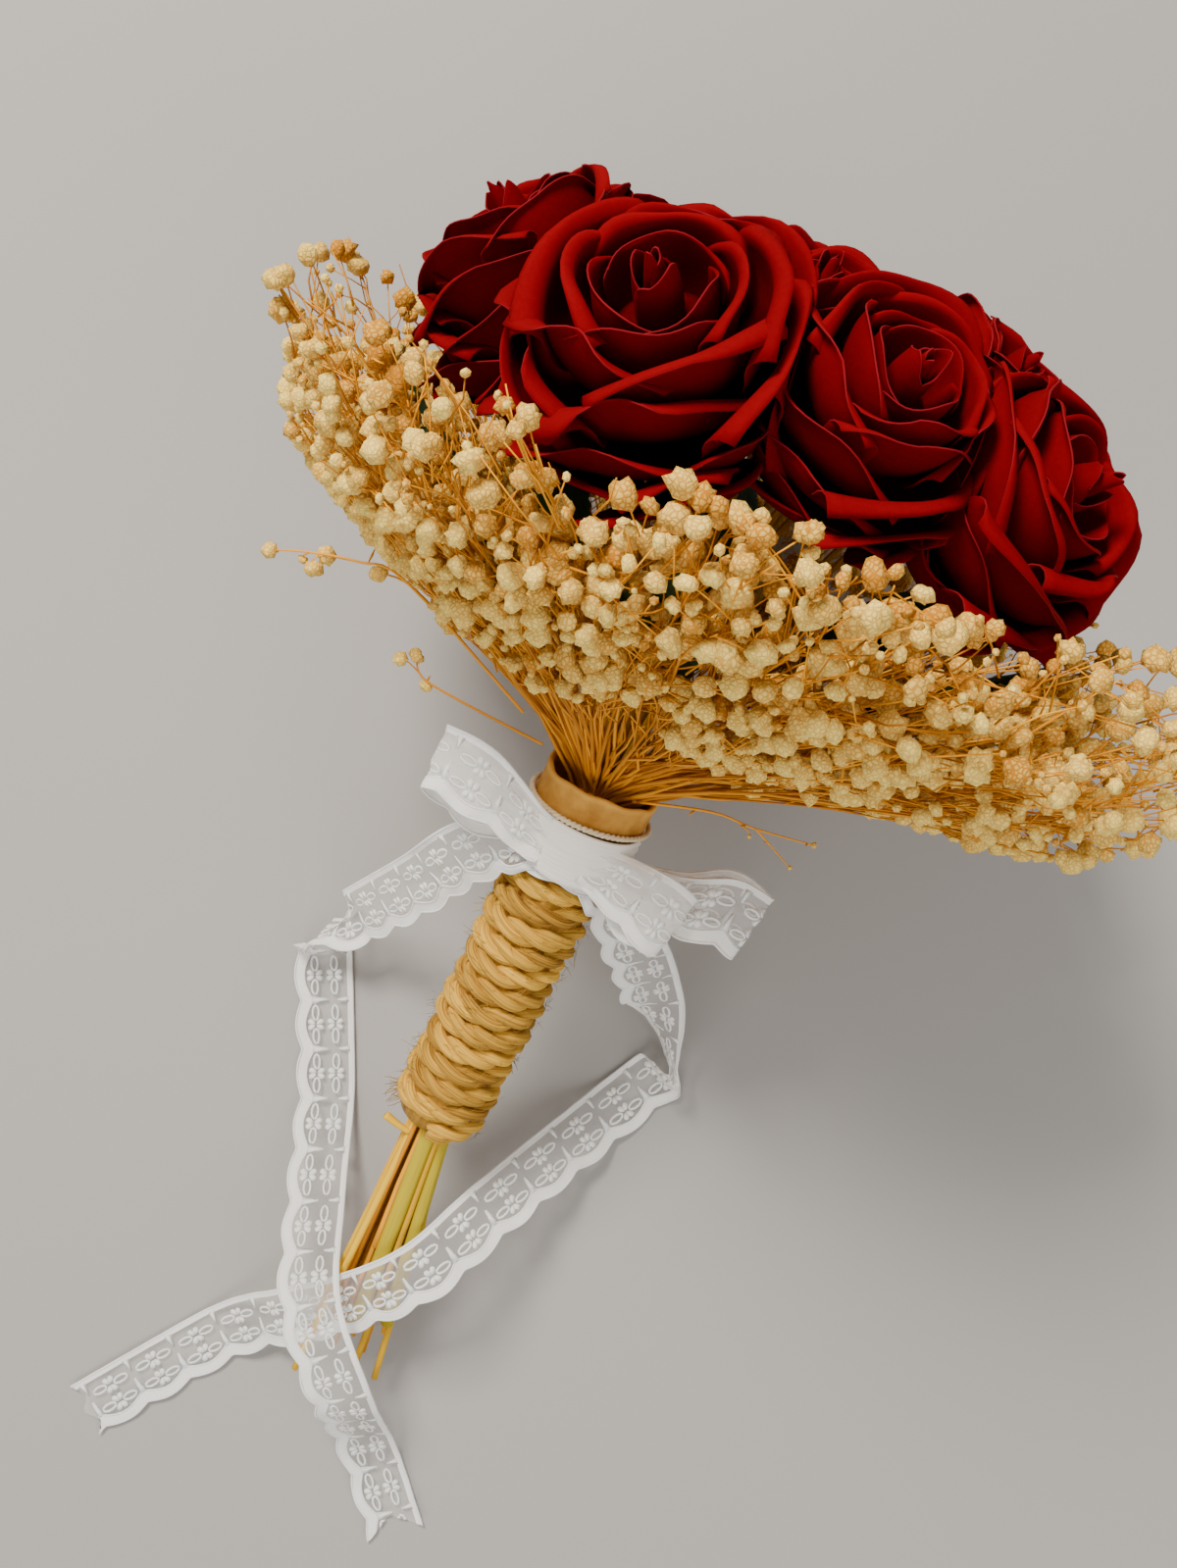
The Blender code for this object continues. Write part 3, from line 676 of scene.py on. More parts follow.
@dataclass
class Rose:
    """A velvet rose head: rings of cut petals with turned-back lips round a bud."""

    posture: Posture
    where: RosePlace
    seed: int
    facing_spread: float = 1.62
    bud_share: float = 0.67
    petal_thickness: float = 0.00042
    lip_start: float = 0.66
    press_start: float = 0.003
    press_depth: float = 0.006
    cone: float = math.radians(47.5)
    cone_start: float = 0.02
    cone_give: float = 0.006
    dome: float = 0.1875
    dome_give: float = 0.004
    core_radius: float = 0.54
    core_drop: float = 0.31
    core_shade_tone: float = 0.25
    skirt_angle: float = 25.0
    skirt_side: float = -0.2

    def tip(self) -> np.ndarray:
        """The point of the bud."""
        return self.posture.polar(
            self.where.distance, math.radians(self.where.angle), math.radians(self.where.turn))

    def look(self) -> np.ndarray:
        """The direction that the flower looks in."""
        return self.posture.facing(
            math.radians(self.where.angle * self.facing_spread), math.radians(self.where.turn))

    def middle(self) -> np.ndarray:
        """The middle of the head."""
        return self.tip() - self.look() * self.bud_share * self.where.radius

    def sheet(self) -> Shape:
        """The flat petal."""
        return unit_sheet(16, 14) if self.where.fine else unit_sheet(12, 11)

    def petal(self, ring: PetalRing, turn: float, draw: np.random.Generator) -> tuple:
        """Shape one petal.

        Args:
            ring: the ring that it belongs to.
            turn: where it stands round the bud, in radians.
            draw: the source of its irregularity.

        Returns:
            Its points as radius, angle and height in head radii, and its tone, dark at the base as
            painted shade.
        """
        sheet = self.sheet()
        u = sheet.points[:, 0]
        v = sheet.points[:, 1]
        side = np.abs(u)

        # The petal rises from its base past its belly to where its lip starts.
        size = 1.0 + draw.normal(0.0, 0.04)
        drop = ring.droop * side ** 2.2 * (1.0 + 0.35 * u * draw.uniform(-1.0, 1.0))
        lift = draw.normal(0.0, 0.03)
        rim_r = ring.rim[0] * size + (ring.belly[0] - ring.rim[0]) * drop * 0.6
        rim_h = ring.rim[1] + lift - drop * (ring.rim[1] - ring.belly[1] + 0.2)
        rim_h = rim_h + ring.peak * np.clip(1.0 - side * 1.6, 0.0, 1.0)
        belly_r = ring.belly[0] * size
        t = np.clip(v / self.lip_start, 0.0, 1.0)
        r = (1 - t) ** 2 * ring.base[0] + 2 * t * (1 - t) * belly_r + t * t * rim_r
        h = (1 - t) ** 2 * ring.base[1] + 2 * t * (1 - t) * ring.belly[1] + t * t * rim_h

        # The lip rolls back from there, some petals with a sharp fold in it.
        along_r = rim_r - belly_r
        along_h = rim_h - ring.belly[1]
        length = np.hypot(along_r, along_h)
        along_r, along_h = along_r / length, along_h / length
        over = np.clip((v - self.lip_start) / (1.0 - self.lip_start), 0.0, 1.0)
        wild = ring.pointed > 0.0
        fold = draw.uniform(0.55, 1.3) if wild else draw.uniform(0.85, 1.15)
        lean = draw.uniform(-0.5, 0.5)
        point = draw.uniform(0.6, 1.0) * (draw.uniform() < ring.pointed)
        middle = draw.uniform(-0.4, 0.4)
        roll = math.radians(ring.roll) * fold * (0.72 + 0.42 * side + lean * u) * over
        roll = roll * (1.0 - point * np.exp(-((u - middle) / 0.30) ** 2))
        lip = ring.lip * draw.uniform(0.7, 1.5) * (1.15 - 0.45 * side)
        lip = lip * (1.0 + 0.4 * point * np.exp(-((u - middle) / 0.35) ** 2))
        ways = np.maximum(roll, 1e-3)
        open_lip = ring.roll < 40.0
        arc_r = np.where(open_lip, over, np.sin(ways))
        bow = np.where(open_lip, 0.5 * over * roll, 1.0 - np.cos(ways))
        straight = point * np.exp(-((u - middle) / 0.30) ** 2) * over
        reach = lip * (arc_r + 0.6 * straight)
        r = r + reach * along_r + lip * bow * along_h
        h = h + reach * along_h - lip * bow * along_r

        # The petal wraps round the bud and ruffles towards its edge.
        spread = 0.42 + 0.58 * smooth(v / 0.5) - 0.16 * over * side
        phase = turn + u * math.radians(ring.wrap) * spread
        r = r * (1.0 + ring.flare * side ** 2 * smooth(v) - 0.07 * u)
        waves = draw.uniform(0.0, TAU, 3)
        ruffle = smooth((v - 0.35) / 0.6)
        outer = min(1.0, ring.rim[0] * 2.0)
        r = r + 0.026 * ruffle * np.sin(4.3 * u + waves[0]) * outer
        r = r - 0.030 * point * outer * smooth(v) * np.exp(-((u - middle) / 0.10) ** 2)
        h = h + 0.020 * ruffle * np.sin(5.5 * u + waves[1])
        h = h + 0.026 * side * ruffle * math.sin(waves[2])
        # Painted shade and light: the tone is dark at the petal's base, deep in the head, and
        # lighter up to and on the turned-back lip.
        tone = 0.08 + 0.74 * smooth(v / 0.80) + 0.14 * over + draw.normal(0.0, 0.06)
        return r, phase, h, tone

    def build(self, neighbours: list[Rose]) -> Basket:
        """Make all petals and press them against the neighbouring heads.

        Args:
            neighbours: the other roses.

        Returns:
            The petals.
        """
        draw = np.random.default_rng(self.seed)
        look = self.look()
        middle = self.middle()
        first = unit(np.cross(look, self.posture.way(1.0, 0.3, 0.2)))
        second = np.cross(look, first)
        radius = self.where.radius
        outward = self.posture.facing(math.pi / 2.0, math.radians(self.where.turn))
        # The core is toned dark: a dark ball put in the heart of the bud as painted shade.
        core = bmesh.new()
        bmesh.ops.create_icosphere(core, subdivisions=3, radius=self.core_radius)
        bmesh.ops.translate(core, verts=core.verts, vec=(0.0, 0.0, -self.core_drop))
        core_shape = as_shape(core)
        parts = [(core_shape.points, core_shape.faces, self.core_shade_tone)]
        start = draw.uniform(0.0, TAU)
        for ring in PETAL_RINGS:
            start = start + TAU / ring.count * 0.5 + draw.normal(0.0, 0.15)
            for index in range(ring.count):
                turn = start + TAU * index / ring.count + draw.normal(0.0, 0.09)
                leaning = (math.cos(turn) * first + math.sin(turn) * second) @ outward
                inner_head = self.where.angle < self.skirt_angle
                if ring.skirt and (inner_head or leaning < self.skirt_side):
                    continue
                r, phase, h, tone = self.petal(ring, turn, draw)
                local = np.column_stack([r * np.cos(phase), r * np.sin(phase), h])
                parts.append((local, self.sheet().faces, tone))
        away = []
        for other in neighbours:
            apart = other.middle() - middle
            distance = float(np.linalg.norm(apart))
            away.append((apart / distance, distance * radius / (radius + other.where.radius)))
        basket = Basket()
        for local, faces, tone in parts:
            points = middle + radius * (
                local[:, :1] * first + local[:, 1:2] * second + local[:, 2:] * look)
            for normal, limit in away:
                points = self.pressed(points, middle, normal, limit)
            basket.add(self.posture.settle(self.held_in(points)), faces, tone)
        return basket

    def pressed(self, points: np.ndarray, middle: np.ndarray, normal: np.ndarray,
                limit: float) -> np.ndarray:
        """Press points softly against the plane between two heads.

        Args:
            points: the petal's points.
            middle: the head's middle.
            normal: the way to the neighbour.
            limit: distance from the middle to the plane.

        Returns:
            The pressed points.
        """
        reach = (points - middle) @ normal
        start = limit - self.press_start
        excess = np.clip(reach - start, 0.0, None)
        return points - taken_off(excess, self.press_depth)[:, None] * normal

    def held_in(self, points: np.ndarray) -> np.ndarray:
        """Keep petals from spreading far into the blossom or far out of the dome.

        Args:
            points: the petal's points.

        Returns:
            The points, brought back.
        """
        tie = self.posture.place(0.0, 0.0, 0.0)
        axis = self.posture.way(0.0, 1.0, 0.0)
        apart = points - tie
        along = apart @ axis
        square = apart - along[:, None] * axis
        radial = np.linalg.norm(square, axis=1)
        limit = np.maximum(along, self.cone_start) * math.tan(self.cone)
        inwards = taken_off(np.clip(radial - limit, 0.0, None), self.cone_give)
        points = points - (inwards / np.maximum(radial, 1e-6))[:, None] * square
        apart = points - tie
        reach = np.linalg.norm(apart, axis=1)
        back = taken_off(np.clip(reach - self.dome, 0.0, None), self.dome_give)
        return points - (back / reach)[:, None] * apart

    def dress(self, neighbours: list[Rose], finishes: dict) -> bpy.types.Object:
        """Make the finished head.

        Args:
            neighbours: the other roses.
            finishes: the materials by name.

        Returns:
            The piece.
        """
        obj = self.build(neighbours).piece(
            f"{self.where.name}_petals", [finishes["velvet"], finishes["velvet_cut_edge_highlight"]])
        thick = obj.modifiers.new("cloth", "SOLIDIFY")
        thick.thickness = self.petal_thickness
        thick.offset = 0.0
        thick.use_rim = True
        # The rims take the cut-edge finish, with its painted highlight.
        thick.material_offset_rim = 1
        return settle_in(obj, "velvet_petal", self.where.name)


# ---- baby's breath -------------------------------------------------------------------

FLORET_CUTS = 6
FLORET_SEED = 900


@lru_cache(maxsize=None)
def floret_shape(kind: int) -> Shape:
    """A ruffled double floret of radius 1.

    Args:
        kind: which of the few cuts.

    Returns:
        The floret.
    """
    draw = np.random.default_rng(FLORET_SEED + kind)
    bm = bmesh.new()
    bmesh.ops.create_uvsphere(bm, u_segments=8, v_segments=5, radius=1.0)
    for vertex in bm.verts:
        turn = math.atan2(vertex.co.y, vertex.co.x)
        ring = round((vertex.co.z + 1.0) * 4.0)
        wave = math.cos(4.0 * turn + ring * math.pi / 2.0 + kind)
        reach = 0.93 + 0.11 * wave + draw.normal(0.0, 0.06)
        vertex.co = vertex.co * reach
        if vertex.co.z > 0.75:
            vertex.co.z *= 0.62
    return as_shape(bm)


@lru_cache(maxsize=None)
def bud_shape() -> Shape:
    """A closed bud of radius 1, a little longer than it is wide.

    Returns:
        The bud.
    """
    bm = bmesh.new()
    bmesh.ops.create_icosphere(bm, subdivisions=1, radius=1.0)
    bmesh.ops.scale(bm, verts=bm.verts, vec=(0.86, 0.86, 1.12))
    return as_shape(bm)


def turned(points: np.ndarray, draw: np.random.Generator) -> np.ndarray:
    """Turn points by a random amount about the origin.

    Args:
        points: the points.
        draw: the source of the turn.

    Returns:
        The turned points.
    """
    matrix, _rest = np.linalg.qr(draw.normal(size=(3, 3)))
    if np.linalg.det(matrix) < 0.0:
        matrix[:, 0] = -matrix[:, 0]
    return points @ matrix.T


def floret(basket: Basket, place: np.ndarray, size: float, open_wide: bool, tone: float,
           draw: np.random.Generator) -> None:
    """Set one floret, or one closed bud.

    Args:
        basket: where it goes.
        place: its middle.
        size: its radius.
        open_wide: whether it is open.
        tone: 0 for the darkest, 1 for the palest.
        draw: the source of its irregularity.
    """
    shape = floret_shape(int(draw.integers(FLORET_CUTS))) if open_wide else bud_shape()
    # Points nearer the middle are darker: painted shade in the dips between the ruffles.
    shade = tone * (0.80 + 0.20 * np.linalg.norm(shape.points, axis=1))
    stretch = np.array([1.0, 1.0, draw.uniform(0.78, 1.0)])
    basket.add(place + turned(shape.points * stretch, draw) * size, shape.faces, shade)


@dataclass
class BlossomSpray:
    """One spray of dried baby's breath: stalks, branches, and twigs that end in florets.

    Each row of sections is a distance from the tie and three angles from the axis in
    degrees: the blossom's inner edge, its outer edge on the left and that on the right.
    The near_ fields flatten the blossom on top of the bouquet, from near_fade outwards, and
    keep it bare next to the collar.
    """

    posture: Posture
    index: int
    count: int = 12
    stalks: int = 11
    branches: int = 5
    twigs: int = 5
    bare_twigs: int = 76
    ring: float = 0.0076
    mouth: float = 0.0158
    near_flatness: float = 0.70
    near_fade: float = 0.055
    near_bare: float = 0.047
    nearest: float = 0.037
    farthest: float = 0.187
    twig_bud_share: float = 0.65
    twig_bud_size: tuple[float, float] = (0.0009, 0.0016)
    open_share: float = 0.74
    open_size: tuple[float, float] = (0.0022, 0.0043)
    closed_size: tuple[float, float] = (0.0013, 0.0021)
    inner_shade_tone: float = 0.44
    outer_light_gain: float = 0.42
    tone_spread: float = 0.22
    seed: int = 40
    sections: tuple = (
        (0.016, 46.0, 57.0, 57.0), (0.030, 47.5, 58.0, 56.0), (0.055, 47.5, 61.0, 57.0),
        (0.085, 47.5, 61.5, 64.0), (0.120, 47.5, 61.5, 70.5), (0.150, 47.0, 61.0, 72.0),
        (0.172, 46.5, 54.0, 68.5), (0.187, 47.5, 51.5, 61.0))

    def nearness(self, turn: float) -> float:
        """1 on top of the bouquet, 0 at its sides and below."""
        return max(0.0, math.cos(turn))

    def region(self, distance: float, turn: float) -> tuple[float, float]:
        """The blossom's inner and outer edge.

        Args:
            distance: distance from the tie.
            turn: turn round the axis, in radians.

        Returns:
            The two angles from the axis, in radians.
        """
        rows = np.radians(np.array(self.sections)[:, 1:])
        places = np.array(self.sections)[:, 0]
        inner = float(np.interp(distance, places, rows[:, 0]))
        right = 0.5 + 0.5 * math.sin(turn)
        outer = float(np.interp(distance, places, rows[:, 1] * (1.0 - right) + rows[:, 2] * right))
        flatness = self.near_flatness * self.nearness(turn) * min(1.0, distance / self.near_fade)
        return inner, outer - (outer - inner) * flatness

    def inside(self, distance: float, angle: float, turn: float) -> np.ndarray:
        """A place in the blossom, brought back between its inner and outer edge.

        Args:
            distance: distance from the tie.
            angle: angle from the axis, in radians.
            turn: turn round the axis, in radians.

        Returns:
            The same three numbers, within the blossom.
        """
        nearest = self.nearest + self.near_bare * self.nearness(turn) ** 2
        distance = min(max(distance, nearest), self.farthest)
        inner, outer = self.region(distance, turn)
        return np.array([distance, min(max(angle, inner), outer), turn])

    def point(self, polar: np.ndarray) -> np.ndarray:
        """A polar place in the frame, pressed onto the table."""
        return self.posture.settle(self.posture.polar(*polar))

    def stalk(self, target: np.ndarray, share: float, draw: np.random.Generator) -> np.ndarray:
        """Bend one stalk out of the collar's mouth towards the blossom.

        Args:
            target: where it points, in polar terms.
            share: how much of the way it goes.
            draw: the source of its irregularity.

        Returns:
            Its middle line.
        """
        turn = target[2] + draw.normal(0.0, 0.18)
        spread = min(1.0, max(0.25, (target[1] - math.radians(40.0)) / math.radians(22.0)))
        mouth = self.mouth * spread * draw.uniform(0.62, 1.0)
        radial = target[0] * math.sin(target[1])
        along = target[0] * math.cos(target[1])
        radii = np.array([mouth * 0.50, mouth, radial * 0.44 + mouth * 0.12])
        alongs = np.array([-0.004, 0.0065, along * 0.48 + 0.003])
        turns = np.array([turn, turn, (turn + target[2]) / 2.0])
        route = self.posture.place(radii * np.sin(turns), alongs, radii * np.cos(turns))
        end = self.point(target * (share, 1.0, 1.0))
        route = smooth_route(np.vstack([route, end]), 3)
        route[4:-1] += draw.normal(0.0, 0.0007, (len(route) - 5, 3))
        return route

    def build(self, draw: np.random.Generator) -> Basket:
        """Make the stalks, branches, twigs, florets and buds.

        Args:
            draw: the source of its irregularity.

        Returns:
            The spray; its florets have mark 0 and its stems mark 1.
        """
        basket = Basket()
        middle = TAU * (self.index + 0.5) / self.count
        half = math.pi / self.count
        near = self.nearness(middle)
        # Stalks that fork to florets.
        for stalk in range(self.stalks):
            turn = middle + half * (2.0 * (stalk + draw.uniform(0.1, 0.9)) / self.stalks - 1.0)
            distance = 0.066 + 0.117 * draw.uniform() ** 0.65
            inner, outer = self.region(distance, turn)
            angle = inner + (outer - inner) * draw.uniform(0.02, 1.0) ** 0.8
            target = self.inside(distance, angle, turn)
            route = self.stalk(target, 0.86, draw)
            basket.tube(route, np.linspace(0.00090, 0.00042, len(route)), 4,
                        draw.uniform(0.1, 0.8), mark=1)
            for branch in range(self.branches):
                self.fork(basket, route, target, branch, draw)
        # Bare stalks, most of them on top.
        for _extra in range(4 + int(16 * near)):
            turn = middle + half * draw.uniform(-1.0, 1.0)
            distance = draw.uniform(0.060, 0.120)
            inner, outer = self.region(distance, turn)
            target = np.array([distance, inner + (outer - inner) * draw.uniform(0.2, 0.85), turn])
            route = self.stalk(target, 1.0, draw)
            basket.tube(route, np.linspace(0.00100, 0.00040, len(route)) * draw.uniform(0.6, 1.1),
                        4, draw.uniform(0.0, 0.9), mark=1)
        # Bare twigs among the florets, some with a closed bud.
        for _extra in range(self.bare_twigs):
            turn = middle + half * draw.uniform(-1.05, 1.05)
            distance = draw.uniform(0.055, 0.175)
            inner, outer = self.region(distance, turn)
            angle = inner + (outer - inner) * draw.uniform(0.1, 1.0)
            start = np.array([distance, angle, turn])
            swing = draw.normal(0.0, (0.006, 0.07, 0.10))
            end = start + np.array([draw.uniform(0.008, 0.022), 0.0, 0.0]) + swing
            end = self.inside(*end)
            first, last = self.point(start), self.point(end)
            pull = (first + last) / 2.0 + draw.normal(0.0, 0.0014, 3)
            basket.tube(bent(first, pull, last, 3), (0.00036, 0.00030, 0.00020), 3,
                        draw.uniform(0.2, 1.0), mark=1)
            if draw.uniform() < self.twig_bud_share:
                floret(basket, last, draw.uniform(*self.twig_bud_size), False,
                       draw.uniform(0.4, 1.0), draw)
        return basket

    def fork(self, basket: Basket, stalk: np.ndarray, target: np.ndarray, branch: int,
             draw: np.random.Generator) -> None:
        """Grow one branch with its twigs.

        Args:
            basket: where it goes.
            stalk: the stalk's middle line.
            target: where the stalk points, in polar terms.
            branch: its number on the stalk.
            draw: the source of its irregularity.
        """
        share = 0.50 + 0.50 * (branch + draw.uniform()) / self.branches
        spot = share * (len(stalk) - 1)
        low = min(int(spot), len(stalk) - 2)
        start = stalk[low] + (stalk[low + 1] - stalk[low]) * (spot - low)
        goal = self.inside(
            target[0] * (0.56 + 0.48 * share) + draw.normal(0.0, 0.009),
            target[1] + draw.normal(0.0, math.radians(5.5)),
            target[2] + draw.normal(0.0, math.radians(6.5)))
        end = self.point(goal)
        pull = (start + end) / 2.0 + draw.normal(0.0, 0.002, 3)
        route = bent(start, pull, end, 5)
        basket.tube(route, np.linspace(0.00045, 0.00026, 5), 3, draw.uniform(0.2, 1.0), mark=1)
        for _twig in range(self.twigs):
            spot = draw.uniform(0.35, 1.0) * 4.0
            low = min(int(spot), 3)
            root = route[low] + (route[low + 1] - route[low]) * (spot - low)
            tip_place = self.inside(
                goal[0] + draw.normal(0.003, 0.0075),
                goal[1] + draw.normal(0.0, math.radians(3.5)),
                goal[2] + draw.normal(0.0, 0.0085 / max(goal[0], 0.05)))
            tip = self.point(tip_place)
            inner, outer = self.region(float(tip_place[0]), float(tip_place[2]))
            shell = (tip_place[1] - inner) / max(outer - inner, 1e-3)
            self.flower(basket, root, tip, float(shell), draw)

    def flower(self, basket: Basket, root: np.ndarray, tip: np.ndarray, shell: float,
               draw: np.random.Generator) -> None:
        """Grow a twig with a floret or a bud on it.

        Args:
            basket: where it goes.
            root: where the twig starts.
            tip: where the floret sits.
            shell: 0 on the inner side of the blossom, 1 on the outer side.
            draw: the source of its irregularity.
        """
        open_floret = draw.uniform() < self.open_share
        size = draw.uniform(*(self.open_size if open_floret else self.closed_size))
        floor = self.posture.shift[2] + size * 0.9
        tip = np.array([tip[0], tip[1], max(tip[2], floor)])
        pull = (root + tip) / 2.0 + draw.normal(0.0, 0.0015, 3)
        basket.tube(bent(root, pull, tip, 3), (0.00028, 0.00024, 0.00022), 3,
                    draw.uniform(0.3, 1.0), mark=1)
        # Florets deep in the blossom are darker and outer ones paler: painted shade inside the
        # mass, painted light on its outside.
        tone = self.inner_shade_tone + self.outer_light_gain * shell + draw.normal(0.0, self.tone_spread)
        tone = float(np.clip(tone, 0.05, 1.0))
        floret(basket, tip, size, open_floret, tone, draw)

    def dress(self, finishes: dict) -> bpy.types.Object:
        """Make the finished spray, with two of its stems down through the handle.

        Args:
            finishes: the materials by name.

        Returns:
            The piece.
        """
        draw = np.random.default_rng(self.seed + self.index)
        basket = self.build(draw)
        turn = TAU * (self.index + 0.5) / self.count
        for extra in range(2):
            swing = turn + draw.normal(0.0, 0.12)
            ring = self.ring * draw.uniform(0.7, 1.05)
            wide, high = ring * draw.uniform(1.4, 2.0), ring * draw.uniform(1.0, 1.4)
            end = self.posture.stem_end + draw.uniform(0.0, 0.035) * (1 + extra)
            route = self.posture.place(
                np.array([wide, ring, ring]) * math.sin(swing),
                np.array([end, self.posture.handle_bottom, 0.004]),
                np.array([high, ring, ring]) * math.cos(swing))
            route = smooth_route(route, 3)
            basket.tube(route, draw.uniform(0.0008, 0.0012), 6, draw.uniform(0.4, 1.0), mark=1)
        name = f"blossom_spray_{self.index + 1:02d}"
        obj = basket.piece(f"{name}_florets", [finishes["blossom"], finishes["dried_stem"]])
        return settle_in(obj, "dried_blossom", name)


@dataclass(frozen=True)
class Sprig:
    """A stray sprig: its route in polar terms (m, degrees, degrees) and its florets.

    Each floret is a share of the route and a radius; the sprig is width thick at its root.
    """

    route: tuple
    florets: tuple
    width: float = 0.00055


SPRIGS = (
    Sprig(((0.040, 58.0, -72.0), (0.0946, 60.0, -75.6), (0.1079, 65.0, -80.7),
           (0.1205, 70.0, -83.3), (0.1310, 74.0, -84.6)), ((1.0, 0.0030), (0.80, 0.0034),
                                                          (0.88, 0.0018), (0.62, 0.0036))),
    Sprig(((0.060, 60.0, -80.0), (0.0902, 62.0, -85.4), (0.1014, 66.0, -88.1)),
          ((1.0, 0.0038),)),
    Sprig(((0.0300, 60.0, -60.0), (0.0551, 73.8, -80.1), (0.0695, 77.1, -86.9),
           (0.0749, 73.8, -88.7)), ((1.0, 0.0031), (0.88, 0.0028), (0.74, 0.0024))),
    Sprig(((0.0170, 60.0, 50.0), (0.0391, 68.4, 83.5), (0.0539, 75.4, 91.0),
           (0.0746, 78.6, 95.3)), ((1.0, 0.0012), (0.70, 0.0009))),
    Sprig(((0.0539, 75.4, 91.0), (0.0601, 80.6, 92.6), (0.0688, 85.6, 92.6)),
          ((1.0, 0.0010),), 0.0004),
    Sprig(((0.1500, 52.0, -92.0), (0.1750, 56.0, -96.0), (0.1840, 57.0, -99.0)), (), 0.0004),
    Sprig(((0.1300, 49.0, -12.0), (0.1450, 51.0, -9.0), (0.1560, 50.0, -7.0),
           (0.1600, 47.5, -10.0)), ((1.0, 0.0019), (0.62, 0.0030))),
    Sprig(((0.1280, 50.0, -30.0), (0.1420, 52.0, -31.0), (0.1500, 49.0, -33.0)),
          ((1.0, 0.0026), (0.70, 0.0036))),
    Sprig(((0.1200, 49.0, 6.0), (0.1380, 51.5, 5.0), (0.1480, 52.0, 9.0)),
          ((1.0, 0.0038),)),
    Sprig(((0.1250, 49.0, 22.0), (0.1400, 52.0, 28.0), (0.1500, 52.5, 36.0),
           (0.1560, 51.0, 45.0)), ((1.0, 0.0032), (0.66, 0.0022), (0.45, 0.0036))),
    Sprig(((0.1150, 50.0, 40.0), (0.1330, 54.0, 46.0), (0.1450, 55.0, 54.0)),
          ((1.0, 0.0036), (0.72, 0.0028))),
)


@dataclass
class StraySprigs:
    """The few sprigs that reach out of the blossom."""

    posture: Posture
    seed: int = 77
    open_from: float = 0.0022

    def dress(self, finishes: dict) -> bpy.types.Object:
        """Make the sprigs with their florets and bracts.

        Args:
            finishes: the materials by name.

        Returns:
            The piece.
        """
        draw = np.random.default_rng(self.seed)
        basket = Basket()
        for sprig in SPRIGS:
            rows = np.array(sprig.route)
            points = self.posture.settle(self.posture.polar(
                rows[:, 0], np.radians(rows[:, 1]), np.radians(rows[:, 2])))
            route = smooth_route(points, 5)
            basket.tube(route, np.linspace(sprig.width, sprig.width * 0.5, len(route)), 5,
                        draw.uniform(0.5, 0.9), mark=1)
            for share, size in sprig.florets:
                at = int(share * (len(route) - 1))
                aside = unit(draw.normal(size=3)) * (size * 1.4 + 0.002) * (share < 1.0)
                place = route[at] + aside
                if share < 1.0:
                    basket.tube(bent(route[max(at - 2, 0)], (route[at] + place) / 2.0, place, 3),
                                (0.0003, 0.00026, 0.0002), 3, 0.8, mark=1)
                floret(basket, place, size, size > self.open_from, draw.uniform(0.7, 1.0), draw)
            for at in range(4, len(route) - 1, 5):
                ends = route[at] + draw.normal(0.0, 0.0016, 3)
                basket.tube(np.array([route[at], (route[at] + ends) / 2.0, ends]),
                            (0.0002, 0.0005, 0.0001), 3, 0.6, mark=1)
        obj = basket.piece("stray_sprigs", [finishes["blossom"], finishes["dried_stem"]])
        return settle_in(obj, "dried_blossom")


# ---- leaves --------------------------------------------------------------------------

LEAF_TURNS = (-47.0, -3.0, 41.0, 86.0, 131.0, 177.0, -137.0, -92.0)


@dataclass
class Leaf:
    """A cloth rose leaf between the roses and the blossom."""

    posture: Posture
    index: int
    turn: float
    start: float = 0.088
    length: float = 0.060
    half_width: float = 0.014
    angle: float = math.radians(46.85)
    thickness: float = 0.0004

    def dress(self, finishes: dict) -> bpy.types.Object:
        """Make the leaf, with a folded midrib, side veins and a toothed edge.

        Args:
            finishes: the materials by name.

        Returns:
            The piece.
        """
        sheet = unit_sheet(12, 26)
        u = sheet.points[:, 0]
        v = sheet.points[:, 1]
        distance = self.start + self.length * v
        outline = np.maximum(np.sin(math.pi * (0.06 + 0.90 * v) ** 0.85), 0.06)
        teeth = 1.0 - 0.06 * np.abs(np.sin(13.0 * math.pi * v))
        half = self.half_width * outline * teeth
        veins = 0.0003 * np.cos(TAU * (9.0 * v - 3.0 * np.abs(u)))
        keel = 0.0011 * (1.0 - np.abs(u)) + veins * (1.0 - np.abs(u)) * np.minimum(np.abs(u) * 6, 1)
        angle = self.angle - keel / distance
        turn = math.radians(self.turn) + half * u / (distance * math.sin(self.angle))
        basket = Basket()
        tone = 0.55 + 0.35 * np.exp(-np.abs(u) * 9.0) + veins * 500.0
        basket.add(self.posture.settle(self.posture.polar(distance, angle, turn)),
                   sheet.faces, tone)
        obj = basket.piece(f"leaf_{self.index:02d}_blade", [finishes["leaf_cloth"]])
        thick = obj.modifiers.new("cloth", "SOLIDIFY")
        thick.thickness = self.thickness
        thick.offset = 0.0
        return settle_in(obj, "leaf", f"leaf_{self.index:02d}")


# ---- handle --------------------------------------------------------------------------

@dataclass(frozen=True)
class CutStem:
    """A flat cut stem below the rope.

    Its turn round the handle in radians, where its end is along the handle and how far
    from the axis, half its width, and its thickness as a share of its width.
    """

    turn: float
    end: float
    splay: float
    half_width: float
    flat: float


